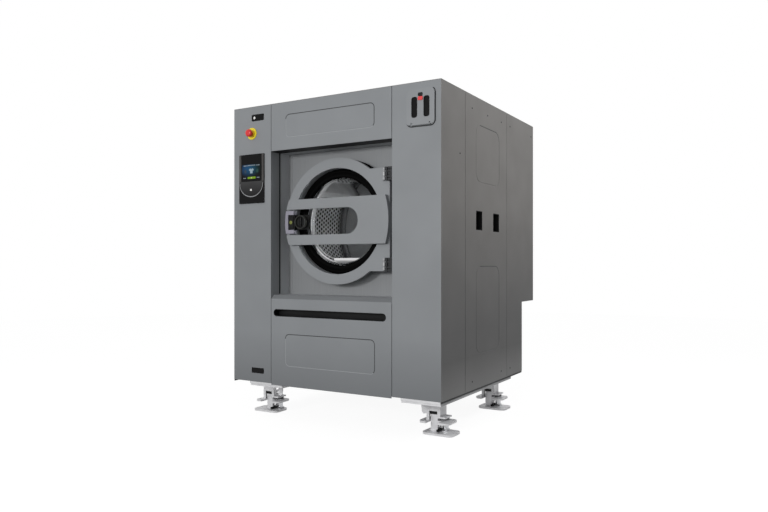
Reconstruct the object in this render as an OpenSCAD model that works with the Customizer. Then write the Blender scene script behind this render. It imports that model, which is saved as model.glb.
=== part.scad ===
// Cabinet washer-extractor: a suspended tub and drum inside a sheet-steel cabinet on weighing feet.
// Origin: floor, under the middle of the whole machine. +Z up, the front faces -Y, +X is the machine's right
// seen from the front. Inside the modules x is the same, v is the depth behind the front face and
// h is the height above the cabinet's bottom edge.

/* [Cabinet] */
// Width of the cabinet
cab_w = 1384; // [1300:2:1480]
// Height of the cabinet above its bottom edge
cab_h = 1640; // [1600:5:1760]
// Depth of the cabinet above the rear overhang
cab_d = 1425; // [1380:5:1500]
// Depth of the cabinet below the rear overhang
body_d = 1200; // [1190:2:1260]
// Height of the rear overhang's underside
overhang_h = 462; // [440:2:520]
// Floor to the cabinet's bottom edge
foot_h = 200; // [195:1:240]
// Thickness of the cabinet sheets
sheet = 2.5; // [1.5:0.5:4]
// Gap between neighbouring panels
seam = 3; // [2:0.5:5]
// Width of each front column
column_w = 285; // [270:1:290]
// How far a column panel wraps back along the side
column_side = 295; // [280:1:320]
// Depth at which the rear side panel starts
rear_side_v = 925; // [860:5:960]
// Rise of the sill behind the lower panel's edge
sill_rise = 24; // [15:1:30]
// Depth of the sill's sloping part
sill_slope_d = 25; // [15:1:40]
// Size of the square posts and rails inside the cabinet
post = 40; // [30:2:50]

/* [Recess] */
// Depth of the return edge round the door recess
recess_lip = 84; // [60:1:95]
// Depth of the recessed front plate
recess_d = 170; // [165:1:175]
// Radius of the loading opening
mouth_r = 305; // [303:1:312]
// Height of the drum axis
axis_h = 949; // [940:1:965]
// Drum axis to the top of the recess
recess_above = 416; // [410:1:430]
// Drum axis down to the lower panel's front edge
edge_below = 445; // [436:1:450]

/* [Door] */
// Outer radius of the door ring
ring_r = 356; // [350:1:370]
// Radius of the door window
window_r = 299; // [290:1:300]
// Depth of the door ring's front face
ring_v = 78; // [74:1:86]
// Thickness of the door ring
ring_t = 20; // [14:1:24]
// Half height of the hinge plate
ear_half_h = 280; // [260:1:300]
// Distance of the hinge plate's edge from the door's middle
ear_x = 348; // [340:1:350]
// Distance of the hinge axis from the door's middle
hinge_x = 370; // [368:1:378]
// Depth of the hinge axis
hinge_v = 60; // [58:1:64]
// Radius of the hinge pins
hinge_pin_r = 5; // [4:0.5:6]
// Height of the hinge centres above and below the drum axis
hinge_half_gap = 243; // [230:1:250]
// Height of the handle band
band_h = 262; // [240:1:280]
// Depth of the handle band's front face
band_v = 50; // [46:1:54]
// Height of the hand opening in the band
grip_h = 148; // [120:1:160]
// Distance of the hand opening's round end from the door's middle
grip_end_x = 162; // [140:1:180]

/* [Latch] */
// Distance of the knob's axis from the door's middle
knob_x = 227; // [222:1:232]
// Radius of the latch knob
knob_r = 38; // [32:1:40]
// Travel of the latch bolt
bolt_travel = 10; // [6:1:12]

/* [Emergency stop] */
// Height of the emergency stop above the control panel
estop_gap = 122; // [100:2:140]
// Distance of the emergency stop from the cabinet's left side
estop_inset = 142; // [120:1:160]
// Reach of the emergency stop in front of the cabinet
estop_reach = 42; // [38:1:50]
// Radius of the yellow collar
collar_r = 35; // [30:1:40]
// Radius of the red cap
cap_r = 22; // [18:1:26]
// Travel of the plunger
estop_travel = 5; // [3:0.5:6]

/* [Control panel] */
// Width of the control panel
panel_w = 193; // [180:1:200]
// Height of the control panel
panel_h = 291; // [270:1:300]
// Height of the control panel's bottom edge
panel_base_h = 1067; // [1040:1:1090]
// Distance of the control panel from the cabinet's left side
panel_inset = 45; // [30:1:60]
// Width of the touch screen
screen_w = 158; // [140:1:165]
// Height of the touch screen
screen_h = 156; // [140:1:170]

/* [Dispenser] */
// Width of the dispenser lid
lid_w = 160; // [150:1:170]
// Height of the dispenser lid
lid_h = 189; // [180:1:200]
// Distance of the lid from the cabinet's top edge
lid_drop = 38; // [32:1:60]
// Distance of the lid's middle from the cabinet's right side
lid_inset = 114; // [110:1:120]
// Depth of the dispenser hopper
hopper_d = 120; // [90:5:130]

/* [Drum] */
// Outer radius of the drum
drum_r = 500; // [480:5:505]
// Length of the drum
drum_len = 620; // [600:2:626]
// Outer radius of the tub
tub_r = 560; // [550:1:570]
// Depth at which the tub starts
tub_v = 232; // [231:1:236]
// Length of the tub
tub_len = 684; // [680:1:690]
// Radius of the drum shaft
shaft_r = 45; // [40:1:50]
// Radius of the drum pulley
pulley_r = 288; // [260:4:300]
// Drum pulley radius divided by the motor pulley radius
pulley_ratio = 4; // [3.8:0.1:4.4]
// Height of the motor's axis
motor_h = 235; // [232:1:245]
// Up and down travel of the tub
tub_travel = 15; // [10:1:18]

/* [Feet] */
// Distance of each foot's centre from the cabinet's side
foot_inset = 104; // [98:1:110]
// Depth of the front feet
front_foot_v = 215; // [205:1:225]
// Depth of the rear feet
rear_foot_v = 985; // [940:1:990]
// Length of a floor plate
plate_l = 180; // [170:2:190]
// Width of a floor plate
plate_w = 130; // [120:2:136]
// Radius of the anchor holes
anchor_r = 7; // [6:0.5:9]

/* [Hidden] */

$fn = 96;
// Smallest overlap that fuses two solids of one piece, and the reach of a cut past a face
bite = 1;
// Running clearance of pins and shafts, and the rest gap between pieces that move apart
run = 0.05;
rest_gap = 0.3;

front_y = -(cab_d - estop_reach) / 2;
half_w = cab_w / 2;
bay_half = half_w - column_w;
panel_top = cab_h - sheet;
inside_x = half_w - sheet;
lower_panel_h = axis_h - edge_below;
sill_h = lower_panel_h + sill_rise;
recess_top = axis_h + recess_above;
fold = 25;
press_depth = 1.2;
press_line = 5;
// The columns and side panels end above the chassis flange, the lower panel hangs a little lower
panel_base = 13;
lower_base = 5;

// Chassis: the flange shows below the panels, the rails stand behind the side panels
flange_t = 12;
flange_face = sheet + 0.5;
flange_step = 7;
flange_d = 170;
flange_left_x = [-570, -331];
flange_right_x = 457;
chassis_top = 100;
rail_w = 46;
rail_x = half_w - 6;
rail_front = 8;
rail_base = panel_base + 1;
low_rail_v = 150;
low_rail_end = 1012;
rear_block_x = 443;
cross_w = 80;
cross_base = 20;
cross_v = [140, 330, 500, 800, 1060];
post_outer_x = inside_x;
post_inner_x = inside_x - post;
inner_post_v = 100;
top_rail_h = panel_top - post;

// Feet, measured from each foot's centre; the posts sit alike on both sides
foot_x = half_w - foot_inset;
base_t = 12;
plate_corner_r = 30;
post_w = 42;
post_d = 55;
post_front = -10;
post_wall = 5;
post_top = 102;
post_hole_z = 35;
post_left = [-19, -58];
load_plate_z = 60;
load_plate_t = 10;
load_plate_shift = 18;
load_plate_top = load_plate_z + load_plate_t;
cell_r = 17;
cell_gap = 27;
cell_x = [for (left = post_left) left + post_w + cell_gap];
cell_y = 31;
pad_r = 22;
pad_t = 14;
pad_top = load_plate_top + pad_t;
anchor_x = plate_l / 2 - 18;
arm_w = 48;
arm_gap = 4;
arm_t = 8;
// The bracket's front web has a window for the top of the post, and an ear on the machine's inner side
web_t = 6;
web_front = -22;
web_overlap = 20;
web_strip = 17;
web_window_top = 120;
wall_d = 79;
ear_w = 36;
bracket_top_z = foot_h - flange_t;

// Door
collar_wall_r = 330;
collar_t = 8;
collar_back = recess_d - 7;
gasket_v = ring_v + 34;
gasket_t = 28;
sleeve_t = 4;
gasket_in_r = 249;
glass_t = 8;
glass_flange_r = 292;
bowl_r = 247;
bowl_d = 80;
band_t = 5;
band_left_r = ring_r - 16;
band_right_r = 432;
band_reach = 356;
hinge_barrel_r = 9;
hinge_len = 70;
hinge_door_len = 46;

// Latch: the bolt runs behind the ring, its stem passes through a slot in the ring
lock_base_v = 70;
knob_v = 40;
bolt_v = 102;
bolt_t = 10;
bolt_half_h = 8;
bolt_tip_x = 350;
stem_x = 330;
stem_w = 12;
stem_half_h = 6;
bolt_gap = rest_gap;
stem_slot_end = -stem_x + stem_w + bolt_travel + bolt_gap;
knob_pin_r = 6;
keeper_left_x = 356;
keeper_right_x = 334;

// Emergency stop and control panel
estop_x = -half_w + estop_inset;
estop_h = panel_base_h + panel_h + estop_gap;
barrel_r = 11;
stem_r = 6;
collar_face = 4;
panel_x = -half_w + panel_inset + panel_w / 2;
panel_mid_h = panel_base_h + panel_h / 2;
bezel_t = 6;
screen_t = 2;
screen_top_gap = 3;

// Dispenser
lid_x = half_w - lid_inset;
lid_base_h = cab_h - lid_drop - lid_h;
lid_mid_h = lid_base_h + lid_h / 2;
lid_t = 8;
lid_axis_h = lid_base_h + 7;
lid_axis_v = -4.2;
lid_pin_r = 2;
lid_barrel_r = 3.8;
lid_slot_w = 36;
lid_slot_h = 109;
lid_slot_x = 35;
latch_w = 28;
latch_h = 38;
latch_mid_h = lid_base_h + 149;
cutout_w = 140;
cutout_h = 184;

// Drum, tub and drive
drum_v = tub_v + 30;
drum_wall = 3;
drum_back = drum_v + drum_len;
tub_wall = 4;
tub_back = tub_v + tub_len;
lip_r = mouth_r;
spider_t = 20;
spider_r = 150;
housing_r = 110;
housing_end = tub_back + 170;
bearing_r = 80;
bearing_w = 40;
bearing_inset = 20;
pulley_v = housing_end + 30;
pulley_w = 60;
belt_t = 8;
motor_r = 105;
motor_len = 400;
motor_v = pulley_v - 75 - motor_len;
motor_pulley_r = pulley_r / pulley_ratio;
motor_shaft_r = 19;
belt_span = axis_h - motor_h;

// Suspension
spring_x = 515;
spring_r = 48;
seat_h = 250;
seat_t = 10;
rib_v = [330, 800];
rib_t = 20;
rib_out_x = 590;
rib_in_x = 300;
rib_top = axis_h - 249;
damper_x = 405;
damper_r = 22;
damper_len = 80;
rod_r = 9;
damper_bore_h = chassis_top + 15;

// Services under the rear overhang
drain_x = -250;
drain_v = 500;
drain_h = 150;
drain_pipe_r = 37.5;
drain_spigot_l = 74;
inlet_spigot_l = 24;
sump_r = 40;
hose_top = axis_h - tub_r - 20;
valve_top = 210;
inlet_r = 13.2;
inlet_x = [340, 430, 520];
inlet_h = 365;
isolator_x = -465;
isolator_h = 330;
knob_len = 26;
box_half = 45;
box_face = body_d + 20;
spindle_r = 5;
dial_r = 26;

// Side openings and pressed fields, as depth and height limits
vent_v = [[444, 533], [699, 793]];
vent_base_h = 898;
vent_open_h = 108;
vent_h = [vent_base_h, vent_base_h + vent_open_h];
vent_d = 40;
side_press = [[441, 798, 1166, 1492, 60], [443, 795, 203, 697, 60]];
screw_r = 5;
side_screws = [[228, 1295], [390, 1565], [613, 1565], [830, 1565], [980, 1565], [cab_d - 45, 1565],
    [390, 60], [830, 60], [980, 60]];

module cab() { translate([0, front_y, foot_h]) children(); }
module slab(x0, x1, v0, v1, h0, h1) { translate([x0, v0, h0]) cube([x1 - x0, v1 - v0, h1 - h0]); }
// A flat drawn in x and h, thickened from v0 to v1
module sheet_xh(v0, v1) { translate([0, v1, 0]) rotate([90, 0, 0]) linear_extrude(v1 - v0) children(); }
// A flat drawn in v and h, thickened from x0 to x1
module sheet_vh(x0, x1) { translate([x0, 0, 0]) rotate([90, 0, 90]) linear_extrude(x1 - x0) children(); }
// A round bar along the depth
module rod_v(x, h, v0, v1, r) { translate([x, v0, h]) rotate([-90, 0, 0]) cylinder(r = r, h = v1 - v0); }
module rod_x(x0, x1, v, h, r) { translate([x0, v, h]) rotate([0, 90, 0]) cylinder(r = r, h = x1 - x0); }
module pipe_v(x, h, v0, v1, ro, ri) {
    difference() {
        rod_v(x, h, v0, v1, ro);
        rod_v(x, h, v0 - bite, v1 + bite, ri);
    }
}
module round_rect(w, h, r) {
    if (h > 2 * r) square([w, h - 2 * r], center = true);
    square([w - 2 * r, h], center = true);
    for (i = [-1, 1], j = [-1, 1]) translate([i * (w / 2 - r), j * (h / 2 - r)]) circle(r, $fn = 48);
}
// The line of a pressed field: a shallow groove with round corners
module press_outline(w, h, r) {
    difference() {
        round_rect(w, h, r);
        round_rect(w - 2 * press_line, h - 2 * press_line, r - press_line);
    }
}
// Both sides of the machine, drawn once for the right
module both_sides() {
    children();
    mirror([1, 0, 0]) children();
}

module cross_member(v) {
    half = rail_x - rail_w + bite;
    slab(-half, half, v - cross_w / 2, v + cross_w / 2, cross_base, chassis_top);
}
// A front flange: a bright upper edge and a lower lip that stands back, carried by the first cross-member
module front_flange(x0, x1) {
    slab(x0, x1, flange_face, flange_face + flange_d, 0, panel_base);
    slab(x0, x1, flange_face + flange_step, flange_face + flange_d, -flange_t, bite);
    slab(x0, x1, cross_v[0] - cross_w / 2, cross_v[0] + cross_w / 2 - flange_step, panel_base - bite,
        cross_base + bite);
}
module chassis_frame() {
    color("gainsboro") cab() {
        both_sides() {
            slab(rail_x - rail_w, rail_x, rail_front, body_d - sheet, rail_base, chassis_top);
            slab(rail_x - rail_w, rail_x, low_rail_v, low_rail_end, -flange_t, rail_base + bite);
            slab(rear_block_x, rail_x - rail_w + bite, rear_foot_v - 75, rear_foot_v + 35,
                -flange_t, chassis_top);
        }
        front_flange(flange_left_x[0], flange_left_x[1]);
        front_flange(flange_right_x, rail_x);
        for (v = cross_v) cross_member(v);
    }
}

// Places a foot's pieces at the four corners; index 0 is the left side, 1 the right
module at_feet() {
    for (side = [0, 1], v = [front_foot_v, rear_foot_v])
        translate([(2 * side - 1) * foot_x, front_y + v, 0]) {
            $side = side;
            children();
        }
}
module plate_outline() { round_rect(plate_l, plate_w, plate_corner_r); }
module anchor_hole(x, y) { translate([x, y, -bite]) cylinder(r = anchor_r, h = base_t + 2 * bite); }
module foot_bases() {
    color("silver") at_feet() {
        left = post_left[$side];
        difference() {
            linear_extrude(base_t) plate_outline();
            anchor_hole(-anchor_x, 0);
            anchor_hole(anchor_x, 0);
        }
        difference() {
            translate([left, post_front, base_t - bite]) cube([post_w, post_d, post_top - base_t + bite]);
            translate([left + post_wall, post_front + post_wall, base_t])
                cube([post_w - 2 * post_wall, post_d, post_top]);
            translate([left + post_w - post_wall - bite, post_front + post_d / 2, post_hole_z])
                rotate([0, 90, 0]) cylinder(r = 7, h = post_wall + 2 * bite);
        }
    }
}
module load_cells() {
    color("silver") at_feet() translate([cell_x[$side], cell_y, base_t]) {
        cylinder(r = cell_r, h = load_plate_z - base_t - 12);
        cylinder(r = cell_r - 7, h = load_plate_z - base_t);
        translate([-cell_r, -cell_r, 0]) cube([2 * cell_r, 2 * cell_r, 10]);
    }
}
module foot_pads() {
    color("dimgray") at_feet() translate([cell_x[$side], cell_y, load_plate_top])
        cylinder(r = pad_r, h = pad_t);
}
// The plate over the load cell is notched for the post, which stands in front of it
module load_plate(left, inner) {
    difference() {
        translate([inner * load_plate_shift, 0, load_plate_z]) linear_extrude(load_plate_t) plate_outline();
        translate([left - 4, -plate_w, load_plate_z - bite])
            cube([post_w + 8, plate_w + post_front + post_d + 4, load_plate_t + 2 * bite]);
        translate([left, -plate_w, load_plate_z - bite])
            cube([post_w + cell_gap, plate_w + web_front, load_plate_t + 2 * bite]);
        for (i = [-1, 1]) translate([i * anchor_x, 0, load_plate_z - bite])
            cylinder(r = anchor_r, h = load_plate_t + 2 * bite);
    }
}
// The web, its window open towards the load plate, and the ear beside it
module bracket_web(left, inner) {
    web_w = post_w + 2 * web_overlap;
    window_w = web_w - 2 * web_strip;
    low = load_plate_top - 2 * bite;
    translate([left - web_overlap, web_front, 0]) difference() {
        translate([0, 0, load_plate_top - bite]) cube([web_w, web_t, bracket_top_z - load_plate_top + bite]);
        translate([web_strip, -bite, low]) cube([window_w, web_t + 2 * bite, web_window_top - low]);
        translate([web_strip + window_w - bite, -bite, low]) cube([web_w, web_t + 2 * bite, pad_top - low]);
    }
    ear_start = inner > 0 ? left + web_w + web_strip : left - web_overlap;
    translate([ear_start, web_front + web_t, 0]) mirror([inner > 0 ? 0 : 1, 0, 0]) rotate([90, 0, 0])
        linear_extrude(web_t) difference() {
            polygon([[-bite, bracket_top_z], [ear_w, bracket_top_z], [ear_w - 8, 112], [ear_w - 18, 100],
                [-bite, 104]]);
            translate([ear_w / 2, 168]) circle(r = 4);
        }
}
// The side wall that stands on the pad; the left feet's has two openings
module bracket_wall(left, inner) {
    wall_x = left + post_w + web_overlap - web_t;
    difference() {
        translate([wall_x, web_front, pad_top]) cube([web_t, wall_d, bracket_top_z - pad_top]);
        if (inner > 0) translate([wall_x - bite, 0, 0]) rotate([90, 0, 90]) linear_extrude(web_t + 2 * bite) {
            polygon([[0, 128], [8, 160], [34, 128]]);
            translate([20, 108]) rotate(20) round_rect(38, 13, 6.5);
        }
    }
    translate([left + post_w + arm_gap, web_front, pad_top]) cube([arm_w, wall_d, arm_t]);
}
module foot_brackets() {
    color("lightgray") at_feet() {
        left = post_left[$side];
        inner = 1 - 2 * $side;
        load_plate(left, inner);
        bracket_web(left, inner);
        bracket_wall(left, inner);
        translate([inner > 0 ? -80 : -122, -80, bracket_top_z - arm_t]) cube([202, 155, arm_t]);
    }
}

module side_frame() {
    slab(post_inner_x, post_outer_x, post, 2 * post, chassis_top, panel_top);
    slab(post_inner_x, post_outer_x, body_d - sheet - post, body_d - sheet, chassis_top, panel_top);
    slab(post_inner_x, post_outer_x, cab_d - sheet - post, cab_d - sheet, overhang_h + sheet, panel_top);
    slab(post_inner_x, post_outer_x, 2 * post - bite, cab_d - sheet - bite, top_rail_h, panel_top);
    slab(post_inner_x, post_outer_x, body_d - sheet - bite, cab_d - sheet - bite,
        overhang_h + sheet, overhang_h + sheet + post);
    slab(bay_half + sheet, bay_half + sheet + post, inner_post_v, inner_post_v + post,
        chassis_top, top_rail_h + bite);
}
module cabinet_frame() {
    color("darkgray") cab() {
        both_sides() side_frame();
        for (v = [inner_post_v, cab_d - sheet - post])
            slab(-post_inner_x - bite, post_inner_x + bite, v, v + post, top_rail_h, panel_top);
        slab(-bay_half - sheet - bite, bay_half + sheet + bite, inner_post_v, inner_post_v + post,
            chassis_top, chassis_top + post);
    }
}

// The right-hand column panel: front, side and the return edge of the recess
module column_panel() {
    slab(bay_half, half_w, 0, sheet, panel_base, panel_top);
    slab(inside_x, half_w, 0, column_side, panel_base, panel_top);
    slab(bay_half, bay_half + sheet, 0, recess_lip, panel_base, panel_top);
    slab(half_w - fold, half_w, column_side - sheet, column_side, chassis_top, top_rail_h);
}
module left_column() {
    color("gray") cab() difference() {
        mirror([1, 0, 0]) column_panel();
        rod_v(estop_x, estop_h, -bite, sheet + bite, barrel_r + run);
        slab(panel_x - panel_w / 2 + 8, panel_x + panel_w / 2 - 8, -bite, sheet + bite,
            panel_base_h + 8, panel_base_h + panel_h - 8);
    }
}
module right_column() {
    color("gray") cab() difference() {
        column_panel();
        slab(lid_x - cutout_w / 2, lid_x + cutout_w / 2, -bite, sheet + bite,
            lid_base_h - 1, lid_base_h - 1 + cutout_h);
    }
}
module press_front(w, h, r, mid_h) {
    translate([0, 0, mid_h]) sheet_xh(-bite, press_depth) press_outline(w, h, r);
}
top_press_gap = 69;
top_press_w = 600;
module top_panel() {
    w = 2 * (bay_half - seam);
    color("gray") cab() difference() {
        union() {
            difference() {
                slab(-w / 2, w / 2, 0, fold, recess_top, panel_top);
                slab(-w / 2 + sheet, w / 2 - sheet, sheet, fold + bite,
                    recess_top + sheet, panel_top - sheet);
            }
            slab(-w / 2, w / 2, fold - bite, recess_lip, recess_top, recess_top + sheet);
        }
        press_front(top_press_w, panel_top - recess_top - 2 * top_press_gap, 28,
            (recess_top + panel_top) / 2);
    }
}
slot_w = 758;
slot_h = 42;
slot_x = -8;
slot_mid_h = lower_panel_h - 78;
lower_press_w = 605;
lower_press_h = 187;
lower_press_mid_h = 213;
module lower_panel() {
    w = 2 * (bay_half - seam);
    color("gray") cab() difference() {
        union() {
            sheet_vh(-w / 2, w / 2) polygon([[0, lower_base], [0, lower_panel_h], [sill_slope_d, sill_h],
                [recess_lip, sill_h], [recess_lip, sill_h - sheet], [sill_slope_d + 1, sill_h - sheet],
                [sheet, lower_panel_h - 1], [sheet, lower_base]]);
            for (x = [-w / 2, w / 2 - sheet])
                slab(x, x + sheet, sheet - bite, inner_post_v, rail_base, lower_panel_h - 4);
        }
        translate([slot_x, 0, slot_mid_h]) sheet_xh(-bite, sheet + bite)
            round_rect(slot_w, slot_h, slot_h / 2);
        press_front(lower_press_w, lower_press_h, 28, lower_press_mid_h);
    }
}
module slot_liner() {
    wall = 3;
    depth = 45;
    color("black") cab() translate([slot_x, 0, slot_mid_h]) difference() {
        union() {
            sheet_xh(0.5, depth) round_rect(slot_w, slot_h, slot_h / 2);
            sheet_xh(sheet, sheet + wall) round_rect(slot_w + 20, slot_h + 20, slot_h / 2 + 10);
        }
        sheet_xh(0, depth - wall) round_rect(slot_w - 2 * wall, slot_h - 2 * wall, slot_h / 2 - wall);
    }
}
recess_end = recess_d + 20;
module recess_frame() {
    color("dimgray") cab() difference() {
        slab(-bay_half - sheet, bay_half + sheet, recess_lip + seam, recess_end,
            sill_h - sheet, recess_top + sheet);
        slab(-bay_half, bay_half, recess_lip, recess_end + bite, sill_h, recess_top);
    }
}
module front_plate() {
    color("gray") cab() difference() {
        slab(-bay_half, bay_half, recess_d, recess_d + 3, sill_h, recess_top);
        rod_v(0, axis_h, recess_d - bite, recess_d + 3 + bite, mouth_r);
    }
}

// A field drawn in v and h by its limits and corner radius
module side_field(f) {
    translate([(f[0] + f[1]) / 2, (f[2] + f[3]) / 2]) press_outline(f[1] - f[0], f[3] - f[2], f[4]);
}
module mid_panel() {
    v0 = column_side + seam;
    v1 = rear_side_v - seam;
    difference() {
        union() {
            slab(inside_x, half_w, v0, v1, panel_base, panel_top);
            for (v = [v0, v1 - sheet])
                slab(half_w - fold, inside_x + bite, v, v + sheet, chassis_top, top_rail_h);
        }
        for (v = vent_v)
            slab(inside_x - bite, half_w + bite, v[0], v[1], vent_h[0], vent_h[1]);
        for (f = side_press) sheet_vh(half_w - press_depth, half_w + bite) side_field(f);
    }
}
module right_mid_panel() { color("dimgray") cab() mid_panel(); }
module left_mid_panel() { color("dimgray") cab() mirror([1, 0, 0]) mid_panel(); }
module rear_side_panel() {
    sheet_vh(inside_x, half_w) polygon([[rear_side_v, panel_base], [body_d, panel_base], [body_d, overhang_h],
        [cab_d, overhang_h], [cab_d, panel_top], [rear_side_v, panel_top]]);
    slab(half_w - fold, inside_x + bite, rear_side_v, rear_side_v + sheet, chassis_top, top_rail_h);
}
module rear_side_panels() { color("dimgray") cab() both_sides() rear_side_panel(); }
module roof_panel() { color("gray") cab() slab(-half_w, half_w, 0, cab_d, panel_top, cab_h); }
module rear_lower_panel() {
    color("dimgray") cab() difference() {
        slab(-inside_x, inside_x, body_d - sheet, body_d, panel_base, overhang_h);
        rod_v(drain_x, drain_h, body_d - sheet - bite, body_d + bite, drain_pipe_r + 2);
        for (x = inlet_x) rod_v(x, inlet_h, body_d - sheet - bite, body_d + bite, inlet_r + 1);
        slab(isolator_x - box_half - bite, isolator_x + box_half + bite,
            body_d - sheet - bite, body_d + bite,
            isolator_h - box_half - bite, isolator_h + box_half + bite);
    }
}
module rear_upper_panel() {
    color("dimgray") cab() {
        slab(-inside_x, inside_x, cab_d - sheet, cab_d, overhang_h, panel_top);
        slab(-inside_x, inside_x, body_d, cab_d - sheet + bite, overhang_h, overhang_h + sheet);
    }
}
module side_vents() {
    wall = 2;
    color("black") cab() both_sides() for (v = vent_v) difference() {
        slab(inside_x - vent_d, half_w - 1, v[0], v[1], vent_h[0], vent_h[1]);
        slab(inside_x - vent_d + wall, half_w, v[0] + wall, v[1] - wall,
            vent_h[0] + wall, vent_h[1] - wall);
    }
}
module panel_screws() {
    color("silver") cab() both_sides()
        for (s = side_screws) rod_x(half_w, half_w + 2, s[0], s[1], screw_r);
}

module estop_collar() {
    color("gold") cab() difference() {
        union() {
            rod_v(estop_x, estop_h, -collar_face, 0, collar_r);
            rod_v(estop_x, estop_h, -bite, 32, barrel_r);
            slab(estop_x - 20, estop_x + 20, 20, 62, estop_h - 22, estop_h + 22);
        }
        rod_v(estop_x, estop_h, -collar_face - bite, 40, stem_r + run);
    }
}
module estop_plunger() {
    color("black") cab() rod_v(estop_x, estop_h, -estop_reach + 8 + rest_gap, 30, stem_r);
}
module estop_cap() {
    head = 20;
    neck_end = -collar_face - estop_travel - 0.5;
    color("red") cab() difference() {
        union() {
            rod_v(estop_x, estop_h, -estop_reach + 5, -estop_reach + head, cap_r);
            translate([estop_x, -estop_reach + 5 + bite, estop_h]) rotate([90, 0, 0])
                cylinder(r1 = cap_r, r2 = cap_r - 7, h = 5 + bite);
            rod_v(estop_x, estop_h, -estop_reach + head - bite, neck_end, 13);
        }
        rod_v(estop_x, estop_h, -estop_reach + 8, 0, stem_r + run);
    }
}

module control_bezel() {
    color("black") cab() difference() {
        union() {
            translate([panel_x, 0, panel_mid_h]) sheet_xh(-bezel_t, 0) round_rect(panel_w, panel_h, 6);
            slab(panel_x - panel_w / 2 + 9, panel_x + panel_w / 2 - 9, -bite, 40,
                panel_base_h + 9, panel_base_h + panel_h - 9);
        }
        slab(panel_x - screen_w / 2, panel_x + screen_w / 2, -bezel_t - bite, -bezel_t + screen_t,
            panel_base_h + panel_h - screen_top_gap - screen_h, panel_base_h + panel_h - screen_top_gap);
    }
}
module screen_glass() {
    color("midnightblue") cab()
        slab(panel_x - screen_w / 2, panel_x + screen_w / 2, -bezel_t - 0.5, -bezel_t + screen_t,
            panel_base_h + panel_h - screen_top_gap - screen_h, panel_base_h + panel_h - screen_top_gap);
}

lug_x = 52;
lug_w = 6;
module dispenser_hopper() {
    wall = 2.5;
    back = sheet + hopper_d;
    color("lightgray") cab() {
        difference() {
            union() {
                slab(lid_x - cutout_w / 2 + 2, lid_x + cutout_w / 2 - 2, 0, back,
                    lid_base_h + 3, lid_base_h + cutout_h - 4);
                slab(lid_x - cutout_w / 2 - 12, lid_x + cutout_w / 2 + 12, sheet, sheet + wall,
                    lid_base_h - 12, lid_base_h + cutout_h + 8);
            }
            for (i = [0, 1]) {
                cell_w = (cutout_w - 4 - 3 * wall) / 2;
                x0 = lid_x - cutout_w / 2 + 2 + wall + i * (cell_w + wall);
                slab(x0, x0 + cell_w, -bite, back - wall, lid_base_h + 14, lid_base_h + cutout_h - 4 - wall);
            }
        }
        for (i = [-1, 1]) slab(lid_x + i * lug_x - lug_w / 2, lid_x + i * lug_x + lug_w / 2,
            lid_axis_v - 3, bite, lid_base_h + 3, lid_base_h + 11);
        rod_x(lid_x - lug_x - lug_w / 2, lid_x + lug_x + lug_w / 2, lid_axis_v, lid_axis_h, lid_pin_r);
    }
}
module dispenser_lid() {
    back = -rest_gap;
    color("gray") cab() difference() {
        union() {
            intersection() {
                translate([lid_x, 0, lid_mid_h]) sheet_xh(-lid_t, back) round_rect(lid_w, lid_h, 25);
                slab(lid_x - lid_w, lid_x + lid_w, -lid_t - bite, bite,
                    lid_axis_h, lid_base_h + lid_h + bite);
            }
            rod_x(lid_x - 48, lid_x + 48, lid_axis_v, lid_axis_h, lid_barrel_r);
        }
        rod_x(lid_x - lid_w, lid_x + lid_w, lid_axis_v, lid_axis_h, lid_pin_r + run);
        for (i = [-1, 1]) slab(lid_x + i * lug_x - 4, lid_x + i * lug_x + 4, -lid_t - bite, bite,
            lid_axis_h - 6, lid_axis_h + 9);
        for (i = [-1, 1]) translate([lid_x + i * lid_slot_x, 0, lid_base_h + 96])
            sheet_xh(-lid_t - bite, -2.5) round_rect(lid_slot_w, lid_slot_h, 14);
        slab(lid_x - 5.5, lid_x + 5.5, -lid_t - bite, bite, latch_mid_h - 14, latch_mid_h + 7);
    }
}
module lid_latch() {
    color("red") cab() {
        translate([lid_x, 0, latch_mid_h]) sheet_xh(-lid_t - 3, -lid_t - rest_gap)
            round_rect(latch_w, latch_h, 6);
        slab(lid_x - 5, lid_x + 5, -lid_t - 0.5, -rest_gap, latch_mid_h - 6, latch_mid_h + 6);
    }
}

module door_outline() {
    circle(ring_r, $fn = 180);
    translate([0, -ear_half_h]) square([ear_x, 2 * ear_half_h]);
}
module at_axis() { translate([0, 0, axis_h]) children(); }
module door_frame() {
    color("gray") cab() difference() {
        union() {
            at_axis() sheet_xh(ring_v, ring_v + ring_t) door_outline();
            pipe_v(0, axis_h, ring_v + ring_t - bite, collar_back, collar_wall_r, collar_wall_r - collar_t);
            pipe_v(0, axis_h, ring_v + ring_t - bite, gasket_v + gasket_t + 10,
                window_r + sleeve_t, window_r);
        }
        rod_v(0, axis_h, ring_v - bite, ring_v + ring_t + bite, window_r);
        slab(-stem_x - bolt_gap, stem_slot_end, ring_v - bite, ring_v + ring_t + bite,
            axis_h - stem_half_h - bolt_gap, axis_h + stem_half_h + bolt_gap);
        slab(-collar_wall_r - bite, stem_slot_end, ring_v + ring_t - bite, bolt_v + bolt_t + bolt_gap,
            axis_h - bolt_half_h - bolt_gap, axis_h + bolt_half_h + bolt_gap);
    }
}
module window_gasket() {
    color("black") cab() at_axis() rotate([-90, 0, 0]) rotate_extrude()
        polygon([[gasket_in_r, gasket_v + 6], [gasket_in_r + 7, gasket_v], [window_r, gasket_v + 14],
            [window_r, gasket_v + gasket_t], [gasket_in_r, gasket_v + gasket_t]]);
}
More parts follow.
